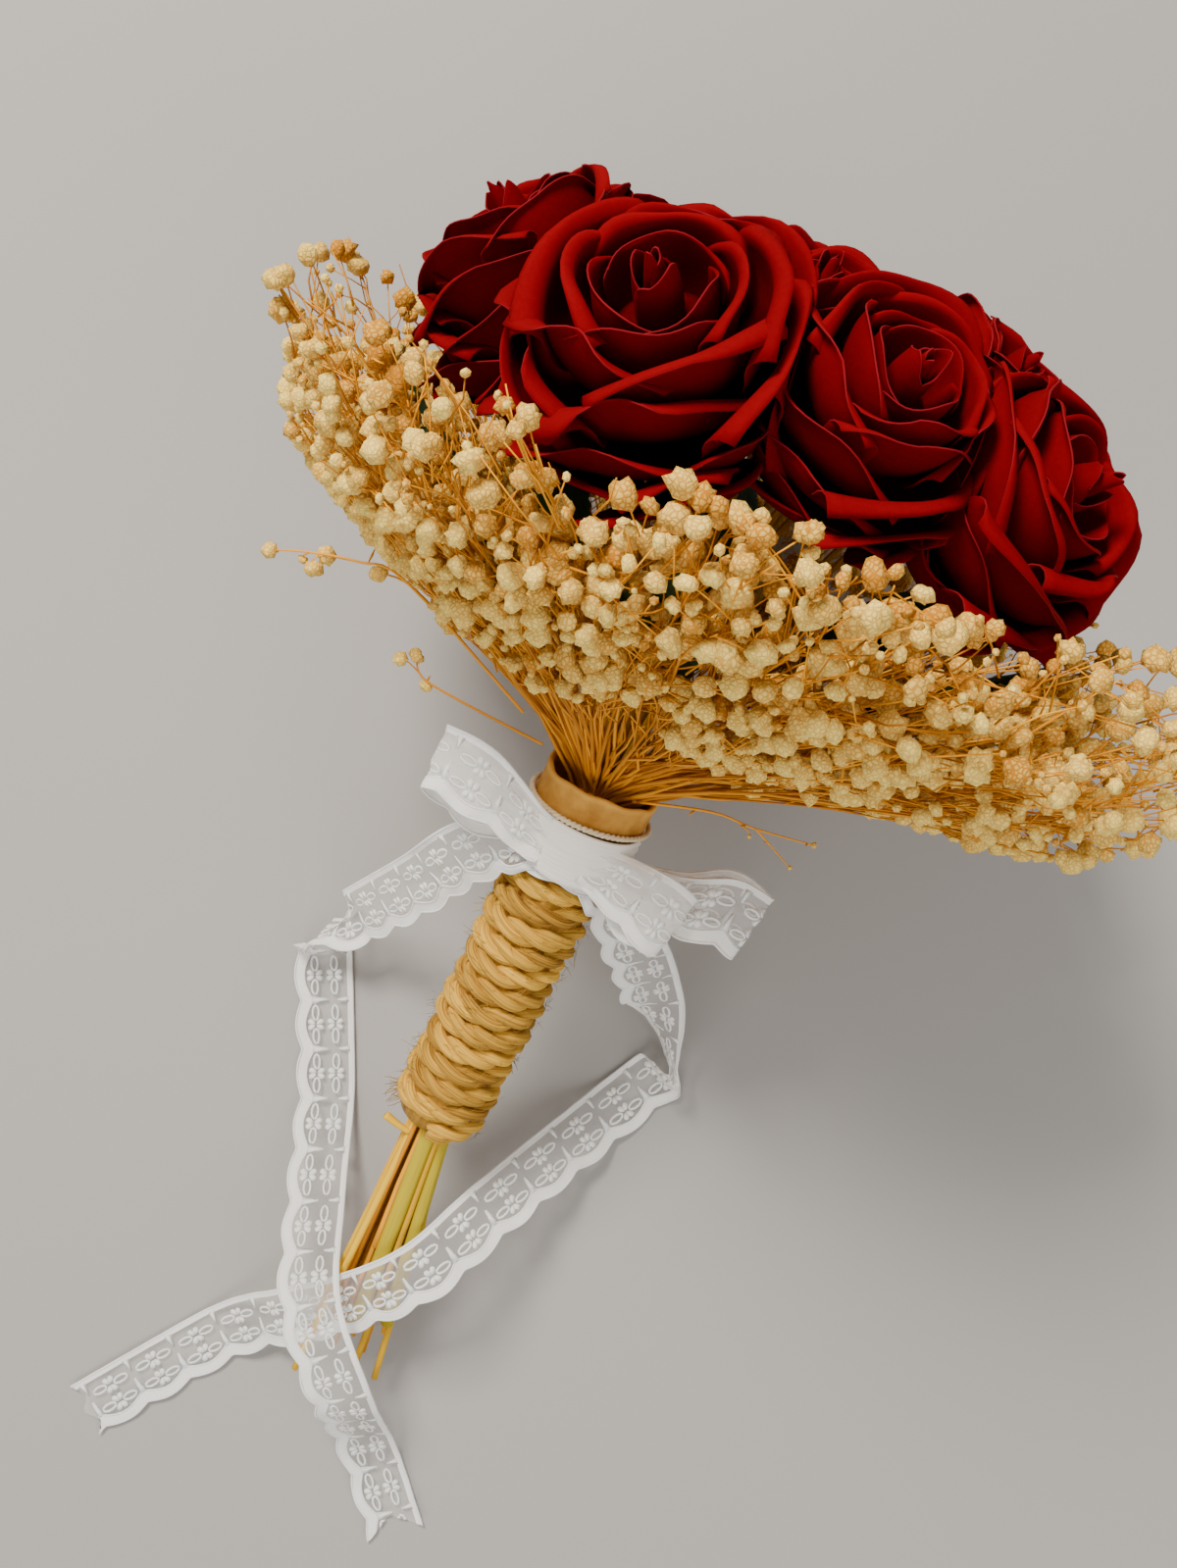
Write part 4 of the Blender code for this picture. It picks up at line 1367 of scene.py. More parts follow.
CUT_STEMS = (
    CutStem(0.10, -0.238, 0.010, 0.0030, 0.50),
    CutStem(0.95, -0.232, 0.015, 0.0025, 0.55),
    CutStem(1.30, -0.222, 0.013, 0.0017, 0.75),
    CutStem(2.70, -0.240, 0.010, 0.0020, 0.60),
    CutStem(-1.15, -0.267, 0.018, 0.0012, 0.80),
    CutStem(-0.85, -0.268, 0.019, 0.0013, 0.80),
    CutStem(1.10, -0.260, 0.018, 0.0013, 0.80),
    CutStem(0.60, -0.257, 0.012, 0.0013, 0.80),
)

# The kraft collar's wall from its lower inner edge round its lip: radius, then place along.
COLLAR_WALL = (
    (0.0099, -0.0048), (0.0170, -0.0050), (0.0192, -0.0045), (0.0197, -0.0030),
    (0.0194, 0.0004), (0.0195, 0.0036), (0.0198, 0.0058), (0.0200, 0.0070),
    (0.0196, 0.0079), (0.0187, 0.0081), (0.0180, 0.0074), (0.0177, 0.0060),
    (0.0178, 0.0040), (0.0174, 0.0010), (0.0168, -0.0022), (0.0099, -0.0024))


@dataclass
class Handle:
    """The jute rope, the kraft collar with its cord, and the cut stems below."""

    posture: Posture
    top: float = -0.0055
    rope_ring: float = 0.0138
    rope_radius: float = 0.0042
    pitch: float = 0.0088
    strand_radius: float = 0.00224
    strand_offset: float = 0.00202
    core_radius: float = 0.0143
    strand_lay: float = 0.0300
    steps: int = 60
    hairs: int = 900
    end_fibres: int = 90
    cord_ring: float = 0.0209
    ply_radius: float = 0.00062
    ply_offset: float = 0.0005
    ply_twists: float = 34.0
    stem_ring: float = 0.0072
    golden_below: float = 0.0016
    rope_seed: int = 7
    stem_seed: int = 21

    def helix(self, turns: np.ndarray) -> tuple[np.ndarray, np.ndarray, np.ndarray]:
        """The rope's middle line.

        Args:
            turns: number of turns run, a point.

        Returns:
            Its points, and two directions square to it at each.
        """
        along = self.posture.handle_bottom + self.rope_radius + self.pitch * turns
        along = along + 0.0006 * np.sin(TAU * turns * 0.37) * np.sin(TAU * turns)
        ring = self.rope_ring + 0.0004 * np.sin(TAU * turns * 0.23)
        phase = TAU * turns
        points = self.posture.place(ring * np.sin(phase), along, ring * np.cos(phase))
        hub = self.posture.place(0.0 * phase, along, 0.0 * phase)
        radial = unit(points - hub)
        tangent = unit(np.gradient(points, axis=0))
        return points, radial, np.cross(tangent, radial)

    def rope(self, finishes: dict) -> bpy.types.Object:
        """Wind three twisted strands round the handle, with loose fibres.

        Args:
            finishes: the materials by name.

        Returns:
            The piece.
        """
        draw = np.random.default_rng(self.rope_seed)
        count = (self.top - self.posture.handle_bottom - 2.0 * self.rope_radius) / self.pitch
        turns = np.linspace(0.0, count, int(count * self.steps))
        points, radial, other = self.helix(turns)
        run = turns * TAU * self.rope_ring
        basket = Basket()
        # A dark core closes the gaps between the turns, painted shade between them.
        along = np.linspace(self.posture.handle_bottom + 0.003, -0.0042, 24)
        basket.tube(self.posture.place(0.0 * along, along, 0.0 * along), self.core_radius, 40,
                    0.18)
        # Three strands twist round the rope's middle line.
        for strand in range(3):
            phase = TAU * (run / self.strand_lay + strand / 3.0)
            phase = phase + 0.2 * np.sin(run * 21.0 + strand)
            offset = self.strand_offset * (1.0 + 0.06 * np.sin(run * 57.0 + 2.0 * strand))
            route = points + offset[:, None] * (
                np.cos(phase)[:, None] * radial + np.sin(phase)[:, None] * other)
            wear = 0.52 + 0.18 * np.sin(run * 90.0 + strand) + 0.14 * np.sin(run * 37.0)
            fat = self.strand_radius * (1.0 + 0.07 * np.sin(run * 130.0 + 1.3 * strand))
            basket.tube(route, fat, 8, wear)
        # Hairs that stand off the rope everywhere.
        for _hair in range(self.hairs):
            at = int(draw.integers(4, len(points) - 4))
            swing = draw.uniform(-1.1, 1.1)
            outward = radial[at] * math.cos(swing) + other[at] * math.sin(swing)
            start = points[at] + outward * self.rope_radius * 0.95
            forward = unit(points[at + 2] - points[at - 2]) * draw.choice([-1.0, 1.0])
            reach = draw.uniform(0.002, 0.007)
            end = start + reach * unit(
                forward + outward * draw.uniform(0.05, 0.65) + draw.normal(0.0, 0.25, 3))
            pull = (start + end) / 2.0 + outward * draw.uniform(0.0, 0.0012)
            basket.tube(bent(start, pull, end, 4), (0.0001, 0.00008, 0.00007, 0.00004), 3,
                        draw.uniform(0.5, 1.0))
        # The tuft of fibres at the rope's cut end.
        for _fibre in range(self.end_fibres):
            swing = draw.normal(-2.3, 0.5)
            ring = self.rope_ring + draw.uniform(-0.002, 0.004)
            start = self.posture.place(ring * math.sin(swing), self.posture.handle_bottom + 0.004,
                                       ring * math.cos(swing))
            end = start + unit(self.posture.way(
                math.sin(swing) + draw.normal(0.0, 0.3), -1.2 + draw.normal(0.0, 0.4),
                math.cos(swing) + draw.normal(0.0, 0.3))) * draw.uniform(0.004, 0.011)
            pull = (start + end) / 2.0 + draw.normal(0.0, 0.0015, 3)
            basket.tube(bent(start, pull, end, 4), (0.00022, 0.0002, 0.00015, 0.00008), 3,
                        draw.uniform(0.4, 0.9))
        obj = basket.piece("jute_rope_strands", [finishes["jute"]])
        return settle_in(obj, "jute_rope", "jute_rope")

    def collar(self, finishes: dict) -> bpy.types.Object:
        """Spin the kraft collar with its rolled lip.

        Args:
            finishes: the materials by name.

        Returns:
            The piece.
        """
        bm = bmesh.new()
        verts = [bm.verts.new((radius, 0.0, along)) for radius, along in COLLAR_WALL]
        edges = [bm.edges.new(pair) for pair in zip(verts, verts[1:] + verts[:1])]
        bmesh.ops.spin(bm, geom=verts + edges, cent=(0, 0, 0), axis=(0, 0, 1),
                       angle=TAU, steps=72, use_merge=True)
        bmesh.ops.remove_doubles(bm, verts=bm.verts, dist=1e-6)
        bmesh.ops.recalc_face_normals(bm, faces=bm.faces)
        shape = as_shape(bm)
        x, y, z = shape.points.T
        phase = np.arctan2(y, x)
        # Its upper part is crumpled, and the lip is paler.
        high = smooth((z + 0.002) / 0.009)
        sway = 1.0 + high * (0.020 * np.sin(2.0 * phase + 0.6) + 0.010 * np.sin(5.0 * phase))
        rise = high * (0.0006 * np.sin(3.0 * phase + 1.0) + 0.0003 * np.sin(9.0 * phase))
        basket = Basket()
        lip = smooth((z - 0.0066) / 0.0010)
        basket.add(self.posture.place(y * sway, z + rise, x * sway), shape.faces,
                   0.35 + 0.20 * high + 0.65 * lip)
        obj = basket.piece("kraft_collar_band", [finishes["kraft"]])
        return settle_in(obj, "kraft_collar", "kraft_collar")

    def cord(self, finishes: dict) -> bpy.types.Object:
        """Tie the thin two-ply cord round the collar's lower edge.

        Args:
            finishes: the materials by name.

        Returns:
            The piece.
        """
        basket = Basket()
        phase = np.linspace(0.0, TAU, 145)
        for ply in (0.0, math.pi):
            twist = phase * self.ply_twists + ply
            ring = self.cord_ring + self.ply_offset * np.cos(twist)
            along = self.posture.cord_along + self.ply_offset * np.sin(twist)
            along = along + 0.0004 * np.sin(2.0 * phase)
            route = self.posture.place(ring * np.sin(phase), along, ring * np.cos(phase))
            basket.tube(route, self.ply_radius, 6, 0.7)
        obj = basket.piece("collar_cord_plies", [finishes["cotton"]])
        return settle_in(obj, "cotton_cord", "collar_cord")

    def stems(self, finishes: dict) -> bpy.types.Object:
        """Set the flat green stems and the snapped stub that show below the rope.

        Args:
            finishes: the materials by name.

        Returns:
            The piece.
        """
        draw = np.random.default_rng(self.stem_seed)
        basket = Basket()
        bottom = self.posture.handle_bottom
        ring = self.stem_ring
        for stem in CUT_STEMS:
            rings = np.array([stem.splay, (stem.splay + ring) / 2, ring, ring])
            route = self.posture.place(
                rings * math.sin(stem.turn),
                np.array([stem.end, (stem.end + bottom) / 2, bottom, bottom + 0.02]),
                rings * math.cos(stem.turn))
            route = smooth_route(route, 4)
            basket.tube(route, stem.half_width, 8, draw.uniform(0.35, 0.9),
                        first=tuple(self.posture.way(1.0, 0.0, 0.1)), flat=stem.flat,
                        mark=int(stem.half_width < self.golden_below))
        stub = self.posture.place(
            np.array([-0.006, -0.011, -0.0165]), np.array([-0.1475, -0.1460, -0.1440]),
            np.array([0.006, 0.0066, 0.007]))
        basket.tube(smooth_route(stub, 4), np.linspace(0.0010, 0.0017, 9), 6, 0.7, mark=1)
        obj = basket.piece("flat_stems", [finishes["green_stem"], finishes["golden_stem"]])
        return settle_in(obj, "rose_stem")


# ---- lace ----------------------------------------------------------------------------

@dataclass
class LaceTrim:
    """The flat lace: a net with a scalloped border, flowers between spurs, a straight edge.

    Across runs from the straight edge. The rows of a spur or a tooth are its places across
    and its widths there. The hem and the seam are the widths of the lines along both edges
    and along the border's inner side, and a small ring stands on each side of a flower.
    """

    width: float = 0.024
    repeat: float = 0.020
    scallop: float = 0.0024
    border_valley: float = 0.0164
    border_belly: float = 0.0035
    selvage: float = 0.0025
    rows: tuple[float, float] = (0.0076, 0.0155)
    height: float = 0.0005
    columns: int = 13
    step: float = 0.0014
    hem: float = 0.0009
    seam: float = 0.0008
    spur: tuple = ((0.0172, 0.0040), (0.0138, 0.0022), (0.0104, 0.0011))
    tooth: tuple = ((0.0020, 0.0030), (0.0042, 0.0017), (0.0064, 0.0009))
    ring_aside: float = 0.0048
    ring_reach: tuple[float, float] = (0.0030, 0.0013)
    ring_width: float = 0.00105
    end_margin: float = 0.003

    def arch(self, run: np.ndarray) -> np.ndarray:
        """0 at the valley between two scallops, 1 at a scallop's belly."""
        return np.abs(np.sin(math.pi * run / self.repeat))

    def edge(self, run: np.ndarray) -> np.ndarray:
        """How wide the lace is at a distance along it."""
        return self.width - self.scallop * (1.0 - self.arch(run))

    def net(self, length: float) -> tuple[np.ndarray, Shape, np.ndarray]:
        """Lay the net with its solid borders flat.

        Args:
            length: how long the lace is.

        Returns:
            Its points as run, across and height, its faces, and 1 for each solid face.
        """
        sheet = unit_sheet(self.columns, max(4, int(length / self.step)))
        run = sheet.points[:, 1] * length
        column = np.rint((sheet.points[:, 0] + 1.0) / 2.0 * self.columns).astype(int)
        inner = self.border_valley + self.border_belly * self.arch(run)
        outer = self.edge(run)
        open_part = self.selvage + (inner - self.selvage) * (column - 1) / (self.columns - 3)
        solid_part = inner + (outer - inner) * (column - self.columns + 2) / 2.0
        across = np.where(column == 0, 0.0,
                          np.where(column <= self.columns - 2, open_part, solid_part))
        middles = column[sheet.faces[0]].mean(axis=1)
        solid = ((middles < 1.0) | (middles > self.columns - 2)).astype(int)
        return np.column_stack([run, across, np.zeros(len(run))]), sheet, solid

    def line(self, basket: Basket, route: np.ndarray, widths: np.ndarray | float) -> None:
        """Embroider a raised line.

        Args:
            basket: where it goes.
            route: its flat route of (run, across) points.
            widths: its width, or one a point.
        """
        flat = np.column_stack([route, np.zeros(len(route))])
        half = np.asarray(widths, float) / 2.0
        ahead = route[1] - route[0]
        basket.tube(flat, half, 4, 0.85, first=(-ahead[1], ahead[0], 0.0),
                    flat=self.height / (2.0 * float(np.max(half))))

    def taper(self, basket: Basket, run: float, rows: tuple) -> None:
        """Embroider a tapering line straight across the lace from its rows."""
        across, widths = np.array(rows).T
        self.line(basket, np.column_stack([np.full(len(rows), run), across]), widths)

    def flower(self, basket: Basket, run: float, across: float) -> None:
        """Embroider one small flower of four petals.

        Args:
            basket: where it goes.
            run: how far along the lace its middle is.
            across: how far across.
        """
        shape = unit_tube(2, 8)
        x, y, z = shape.points.T
        for turn in np.radians((60.0, 120.0, 240.0, 300.0)):
            far = 0.0020 + 0.0016 * x
            wide = 0.00105 * y * (1.0 + 0.30 * x)
            points = np.column_stack([
                run + far * math.cos(turn) - wide * math.sin(turn),
                across + far * math.sin(turn) + wide * math.cos(turn),
                (z - 0.5) * self.height])
            basket.add(points, shape.faces, 0.95)

    def embroidery(self, length: float) -> Basket:
        """Make the whole pattern for a length, flat: run, across and height.

        Args:
            length: how long the lace is.

        Returns:
            The pattern.
        """
        basket = Basket()
        run = np.linspace(0.0, length, max(4, int(length / self.step)))
        self.line(basket, np.column_stack([run, self.edge(run) - 0.0004]), self.hem)
        self.line(basket, np.column_stack([
            run, self.border_valley + self.border_belly * self.arch(run)]), self.seam)
        self.line(basket, np.column_stack([run, np.full(len(run), 0.0005)]), self.hem)
        ring = np.radians(np.linspace(0.0, 360.0, 11))
        for number in range(int(length / self.repeat) + 2):
            valley = number * self.repeat
            if 0.002 < valley < length - 0.002:
                self.taper(basket, valley, self.spur)
                self.taper(basket, valley, self.tooth)
            middle = valley + self.repeat / 2.0
            for row in self.rows:
                if middle + self.end_margin < length:
                    self.flower(basket, middle, row)
                for aside in (-self.ring_aside, self.ring_aside):
                    if middle + aside + self.end_margin < length:
                        self.line(basket, np.column_stack([
                            middle + aside + self.ring_reach[0] * np.cos(ring),
                            row + self.ring_reach[1] * np.sin(ring)]), self.ring_width)
        return basket


@dataclass
class Ribbon:
    """Lace laid along a route, with its width, gathers and pleats on the way.

    The run, centre, side, gather and pleat each have a row a point of the route: the
    distance, the place, the way across, the width as a share and the height of the folds.
    A notch is how deep the end is cut and how many points it has.
    """

    trim: LaceTrim
    run: np.ndarray
    centre: np.ndarray
    side: np.ndarray
    gather: np.ndarray
    pleat: np.ndarray
    pleats: float = 3.0
    crumple: float = 0.0
    phase: float = 0.0
    notch: tuple[float, float] = (0.0, 1.0)

    def lay(self, flat: np.ndarray) -> np.ndarray:
        """Bring flat lace points (run, across, height) into place.

        Args:
            flat: the points.

        Returns:
            Their places in the frame.
        """
        length = self.run[-1]
        depth, teeth = self.notch
        share = flat[:, 1] / self.trim.width
        cut = length - depth * (1.0 - np.abs(2.0 * ((share * teeth) % 1.0) - 1.0))
        run = np.minimum(flat[:, 0], cut)

        def read(values: np.ndarray) -> np.ndarray:
            """Look a value up along the route."""
            if values.ndim == 1:
                return np.interp(run, self.run, values)
            return np.stack([np.interp(run, self.run, values[:, k]) for k in range(3)], axis=1)

        tangent = unit(np.gradient(self.centre, axis=0))
        normal = unit(np.cross(tangent, self.side))
        across = flat[:, 1] - self.trim.width / 2.0
        wave = np.sin(TAU * self.pleats * share + self.phase + 40.0 * run)
        ripple = np.sin(310.0 * run + 4.0 * share + self.phase) * np.sin(
            170.0 * run - 9.0 * share + 1.7 * self.phase)
        lift = flat[:, 2] + read(self.pleat) * wave + self.crumple * ripple
        return (read(self.centre) + read(self.side) * (across * read(self.gather))[:, None]
                + read(normal) * lift[:, None])

    def dress(self, name: str, net: bpy.types.Material, thread: bpy.types.Material,
              held: str, rests_on: list[str], nodes: list[str]) -> bpy.types.Object:
        """Args:
            name: the piece's name.
            net: the net's material.
            thread: the embroidery's material.
            held: not used.
            rests_on: not used.
            nodes: the CAD nodes that it stands for.

        Returns:
            The net.
        """
        length = float(self.run[-1])
        flat, sheet, solid = self.trim.net(length)
        basket = Basket()
        basket.add(flat, sheet.faces, 0.7, mark=solid)
        basket.moved(self.lay)
        obj = basket.piece(f"{name}_net", [net, thread])
        settle_in(obj, "white_lace", *nodes)
        pattern = self.trim.embroidery(length)
        pattern.moved(self.lay)
        stitches = pattern.piece(f"{name}_embroidery", [thread])
        settle_in(stitches, "white_lace")
        LOG.info("%s: lace %.0f mm long", name, length * 1000.0)
        return obj


def rounded(points: np.ndarray, width: int) -> np.ndarray:
    """Smooth a route.

    Args:
        points: its points.
        width: how many points the window takes in, an odd number.

    Returns:
        As many points, smoothed.
    """
    window = np.hanning(width + 2)[1:-1]
    padded = np.pad(points, ((width // 2, width // 2), (0, 0)), mode="edge")
    return np.stack([
        np.convolve(padded[:, k], window / window.sum(), mode="valid")
        for k in range(points.shape[1])], axis=1)


@dataclass
class Tail:
    """One of the two ribbon tails: it falls, turns over on its edge and runs to its end.

    Points of the fall and the path are across, forward and up from the spot on the table
    below the tie. The scalloped edge starts on one side and turns up or down in the fold.
    The tail turns on its edge over the stretch called narrow before the fold.
    """

    name: str
    node: str
    fall: tuple
    path: tuple
    scallop_left: bool
    scallop_up: float
    notch: tuple[float, float]
    phase: float
    narrow: float
    step: float = 0.0015

    def ribbon(self, posture: Posture, trim: LaceTrim) -> Ribbon:
        """Lay the tail's route.

        Args:
            posture: how the bouquet lies.
            trim: the flat lace.

        Returns:
            The ribbon.
        """
        fall = smooth_route(posture.on_table(np.array(self.fall)), 14)
        path = smooth_route(posture.on_table(np.array(self.fall[-1:] + self.path)), 14)
        fold_at = route_length(fall)
        run, centre = evenly(np.vstack([fall, path[1:]]), self.step)
        centre = rounded(centre, 5)
        tucked = 0.0030 * (1.0 - smooth(run / 0.014))
        centre = centre - tucked[:, None] * posture.way(0.0, 0.0, 1.0)
        tangent = unit(np.gradient(centre, axis=0))
        level = np.clip(run / (0.6 * fold_at), 0.0, 1.0)[:, None]
        above = unit(posture.way(0.0, 0.0, 1.0) * (1.0 - level) + np.array([0, 0, 1.0]) * level)
        left = unit(np.cross(above, tangent))
        if not self.scallop_left:
            left = -left
        # Up to the fold its width from above shrinks to a tenth, then it turns right over.
        narrowed = smooth((run - fold_at + self.narrow + 0.001) / self.narrow)
        before = np.degrees(np.arccos(1.0 - 0.9 * narrowed))
        after = 96.0 * smooth((run - fold_at + 0.001) / 0.0065)
        roll = np.radians(before + after)[:, None]
        up = unit(above - tangent * np.sum(above * tangent, axis=1, keepdims=True))
        side = left * np.cos(roll) + up * np.sin(roll) * self.scallop_up
        gather = 0.72 + 0.28 * smooth(run / 0.022)
        pleat = 0.0012 * (1.0 - smooth(run / 0.030)) + 0.00020
        crumple = 0.0003
        # No edge may go under the table.
        lowest = posture.shift[2] + trim.width / 2.0 * gather * np.abs(side[:, 2])
        lowest = lowest + pleat + crumple + 0.0009
        raised = np.maximum(centre[:, 2], lowest)
        raised = np.maximum(rounded(raised[:, None], 9)[:, 0], lowest)
        centre = np.column_stack([centre[:, :2], raised])
        return Ribbon(trim, run, centre, side, gather, pleat, 2.5, crumple, self.phase,
                      self.notch)


TAILS = (
    Tail("tail_left", "lace_tail_left",
         ((-0.0100, -0.0226, 0.1138), (-0.0232, -0.0272, 0.1045), (-0.0340, -0.0380, 0.0880),
          (-0.0440, -0.0535, 0.0640), (-0.0600, -0.0747, 0.0330), (-0.0711, -0.0890, 0.0110),
          (-0.0775, -0.0960, 0.0012)),
         ((-0.0520, -0.1490, 0.0012), (-0.0350, -0.1880, 0.0190), (-0.0190, -0.2170, 0.0430),
          (0.0070, -0.2470, 0.0400), (0.0245, -0.2765, 0.0060), (0.0510, -0.3070, 0.0008)),
         True, 1.0, (0.009, 1.0), 0.4, 0.028),
    Tail("tail_right", "lace_tail_right",
         ((0.0100, -0.0252, 0.1127), (0.0215, -0.0290, 0.1020), (0.0325, -0.0405, 0.0805),
          (0.0430, -0.0505, 0.0570), (0.0552, -0.0645, 0.0290), (0.0645, -0.0755, 0.0130),
          (0.0735, -0.0870, 0.0012)),
         ((0.0585, -0.1150, 0.0035), (0.0310, -0.1580, 0.0320), (0.0150, -0.1870, 0.0470),
          (-0.0050, -0.2140, 0.0355), (-0.0250, -0.2370, 0.0170), (-0.0470, -0.2610, 0.0020),
          (-0.0855, -0.3140, 0.0008)),
         False, -1.0, (0.005, 2.0), 1.9, 0.050),
)


@dataclass
class Loop:
    """A bow loop: the ribbon goes out to its tip, turns and comes back beneath.

    Its two edges, straight and scallop, run from the root to the tip in bouquet
    coordinates. The lower layer drifts beneath by the three lengths of beneath, the loop
    is raised at its root and its tip, and depth is half its thickness. The steps that an
    edge is divided in are not whole, so that it has 28 points whatever its length.
    """

    name: str
    node: str
    straight: tuple
    scallop: tuple
    beneath: tuple[float, float, float]
    raised: tuple[float, float]
    depth: float
    gathered: bool
    pleat: float
    crumple: float
    phase: float
    steps: float = 27.5

    def edge(self, posture: Posture, points: tuple) -> np.ndarray:
        """One edge of the upper layer.

        Args:
            posture: how the bouquet lies.
            points: the edge's points.

        Returns:
            Even places from root to tip.
        """
        rows = np.array(points)
        route = smooth_route(posture.place(rows[:, 0], rows[:, 1], rows[:, 2]), 8)
        return evenly(route, route_length(route) / self.steps)[1]

    def ribbon(self, posture: Posture, trim: LaceTrim) -> Ribbon:
        """Lay the loop's route out and back.

        Args:
            posture: how the bouquet lies.
            trim: the flat lace.

        Returns:
            The ribbon.
        """
        straight = self.edge(posture, self.straight)
        scallop = self.edge(posture, self.scallop)
        share = np.linspace(0.0, 1.0, len(straight))
        middle = (straight + scallop) / 2.0
        normal = unit(np.cross(np.gradient(middle, axis=0), scallop - straight))
        normal = normal * np.sign(normal @ posture.way(0.0, 0.0, 1.0))[:, None]
        swell = self.depth * (0.10 + 0.90 * np.sin(0.8 * math.pi * share)) * np.sqrt(
            np.clip(1.0 - ((share - 0.86) / 0.14).clip(0.0, 1.0) ** 2, 0.0, 1.0))
        height = np.interp(share, (0.0, 1.0), self.raised)
        rise = height[:, None] * np.array([0.0, 0.0, 1.0])
        aside = posture.way(1.0, 0.0, 0.0) * self.beneath[0]
        aside = aside + posture.way(0.0, 1.0, 0.0) * self.beneath[1]
        aside = aside + posture.way(0.0, 0.0, 1.0) * self.beneath[2]
        drift = np.sin(math.pi * share ** 1.6)[:, None] * aside
        over = normal * swell[:, None] + rise
        under = rise + drift - normal * swell[:, None]
        edges = [np.vstack([edge + over, (edge + under)[::-1]]) for edge in (straight, scallop)]
        both = rounded(np.hstack(edges), 5)
        centre = (both[:, :3] + both[:, 3:]) / 2.0
        run = distance_run(centre)
        across = both[:, 3:] - both[:, :3]
        gather = np.linalg.norm(across, axis=1) / trim.width
        if not self.gathered:
            run = run * round(run[-1] / trim.repeat) * trim.repeat / run[-1]
        near = np.minimum(run, run[-1] - run) / run[-1]
        pleat = self.pleat * (1.0 - smooth(near / 0.42)) + 0.0002
        return Ribbon(trim, run, centre, unit(across), gather, pleat, 3.4, self.crumple,
                      self.phase)


LOOPS = (
    Loop("loop_left", "bow_loop_left",
         ((-0.0085, -0.0036, 0.0194), (-0.0185, -0.0010, 0.0135), (-0.0362, 0.0079, 0.0130),
          (-0.0533, 0.0072, 0.0112)),
         ((-0.0070, -0.0222, 0.0200), (-0.0150, -0.0208, 0.0170), (-0.0330, -0.0168, 0.0171),
          (-0.0531, -0.0138, 0.0182)),
         (0.0015, -0.0065, 0.0), (0.0, 0.0025), 0.0042, True, 0.0009, 0.0007, 0.3),
    Loop("loop_right", "bow_loop_right",
         ((0.0095, -0.0062, 0.0190), (0.0190, -0.0079, 0.0130), (0.0349, -0.0083, 0.0128),
          (0.0452, -0.0137, 0.0096)),
         ((0.0040, -0.0235, 0.0206), (0.0120, -0.0240, 0.0180), (0.0244, -0.0302, 0.0202),
          (0.0408, -0.0362, 0.0171)),
         (-0.0020, -0.0020, 0.0), (0.0, 0.0050), 0.0030, True, 0.0010, 0.0006, 1.1),
    Loop("loop_back", "bow_loop_back",
         ((0.0190, -0.0120, 0.0062), (0.0382, -0.0094, 0.0047), (0.0535, -0.0038, 0.0004),
          (0.0694, -0.0072, -0.0026)),
         ((0.0175, -0.0248, 0.0112), (0.0400, -0.0290, 0.0099), (0.0500, -0.0290, 0.0070),
          (0.0658, -0.0305, 0.0046)),
         (0.0, 0.0012, -0.0010), (0.0030, 0.0040), 0.0024, False, 0.0008, 0.0002, 2.0),
)


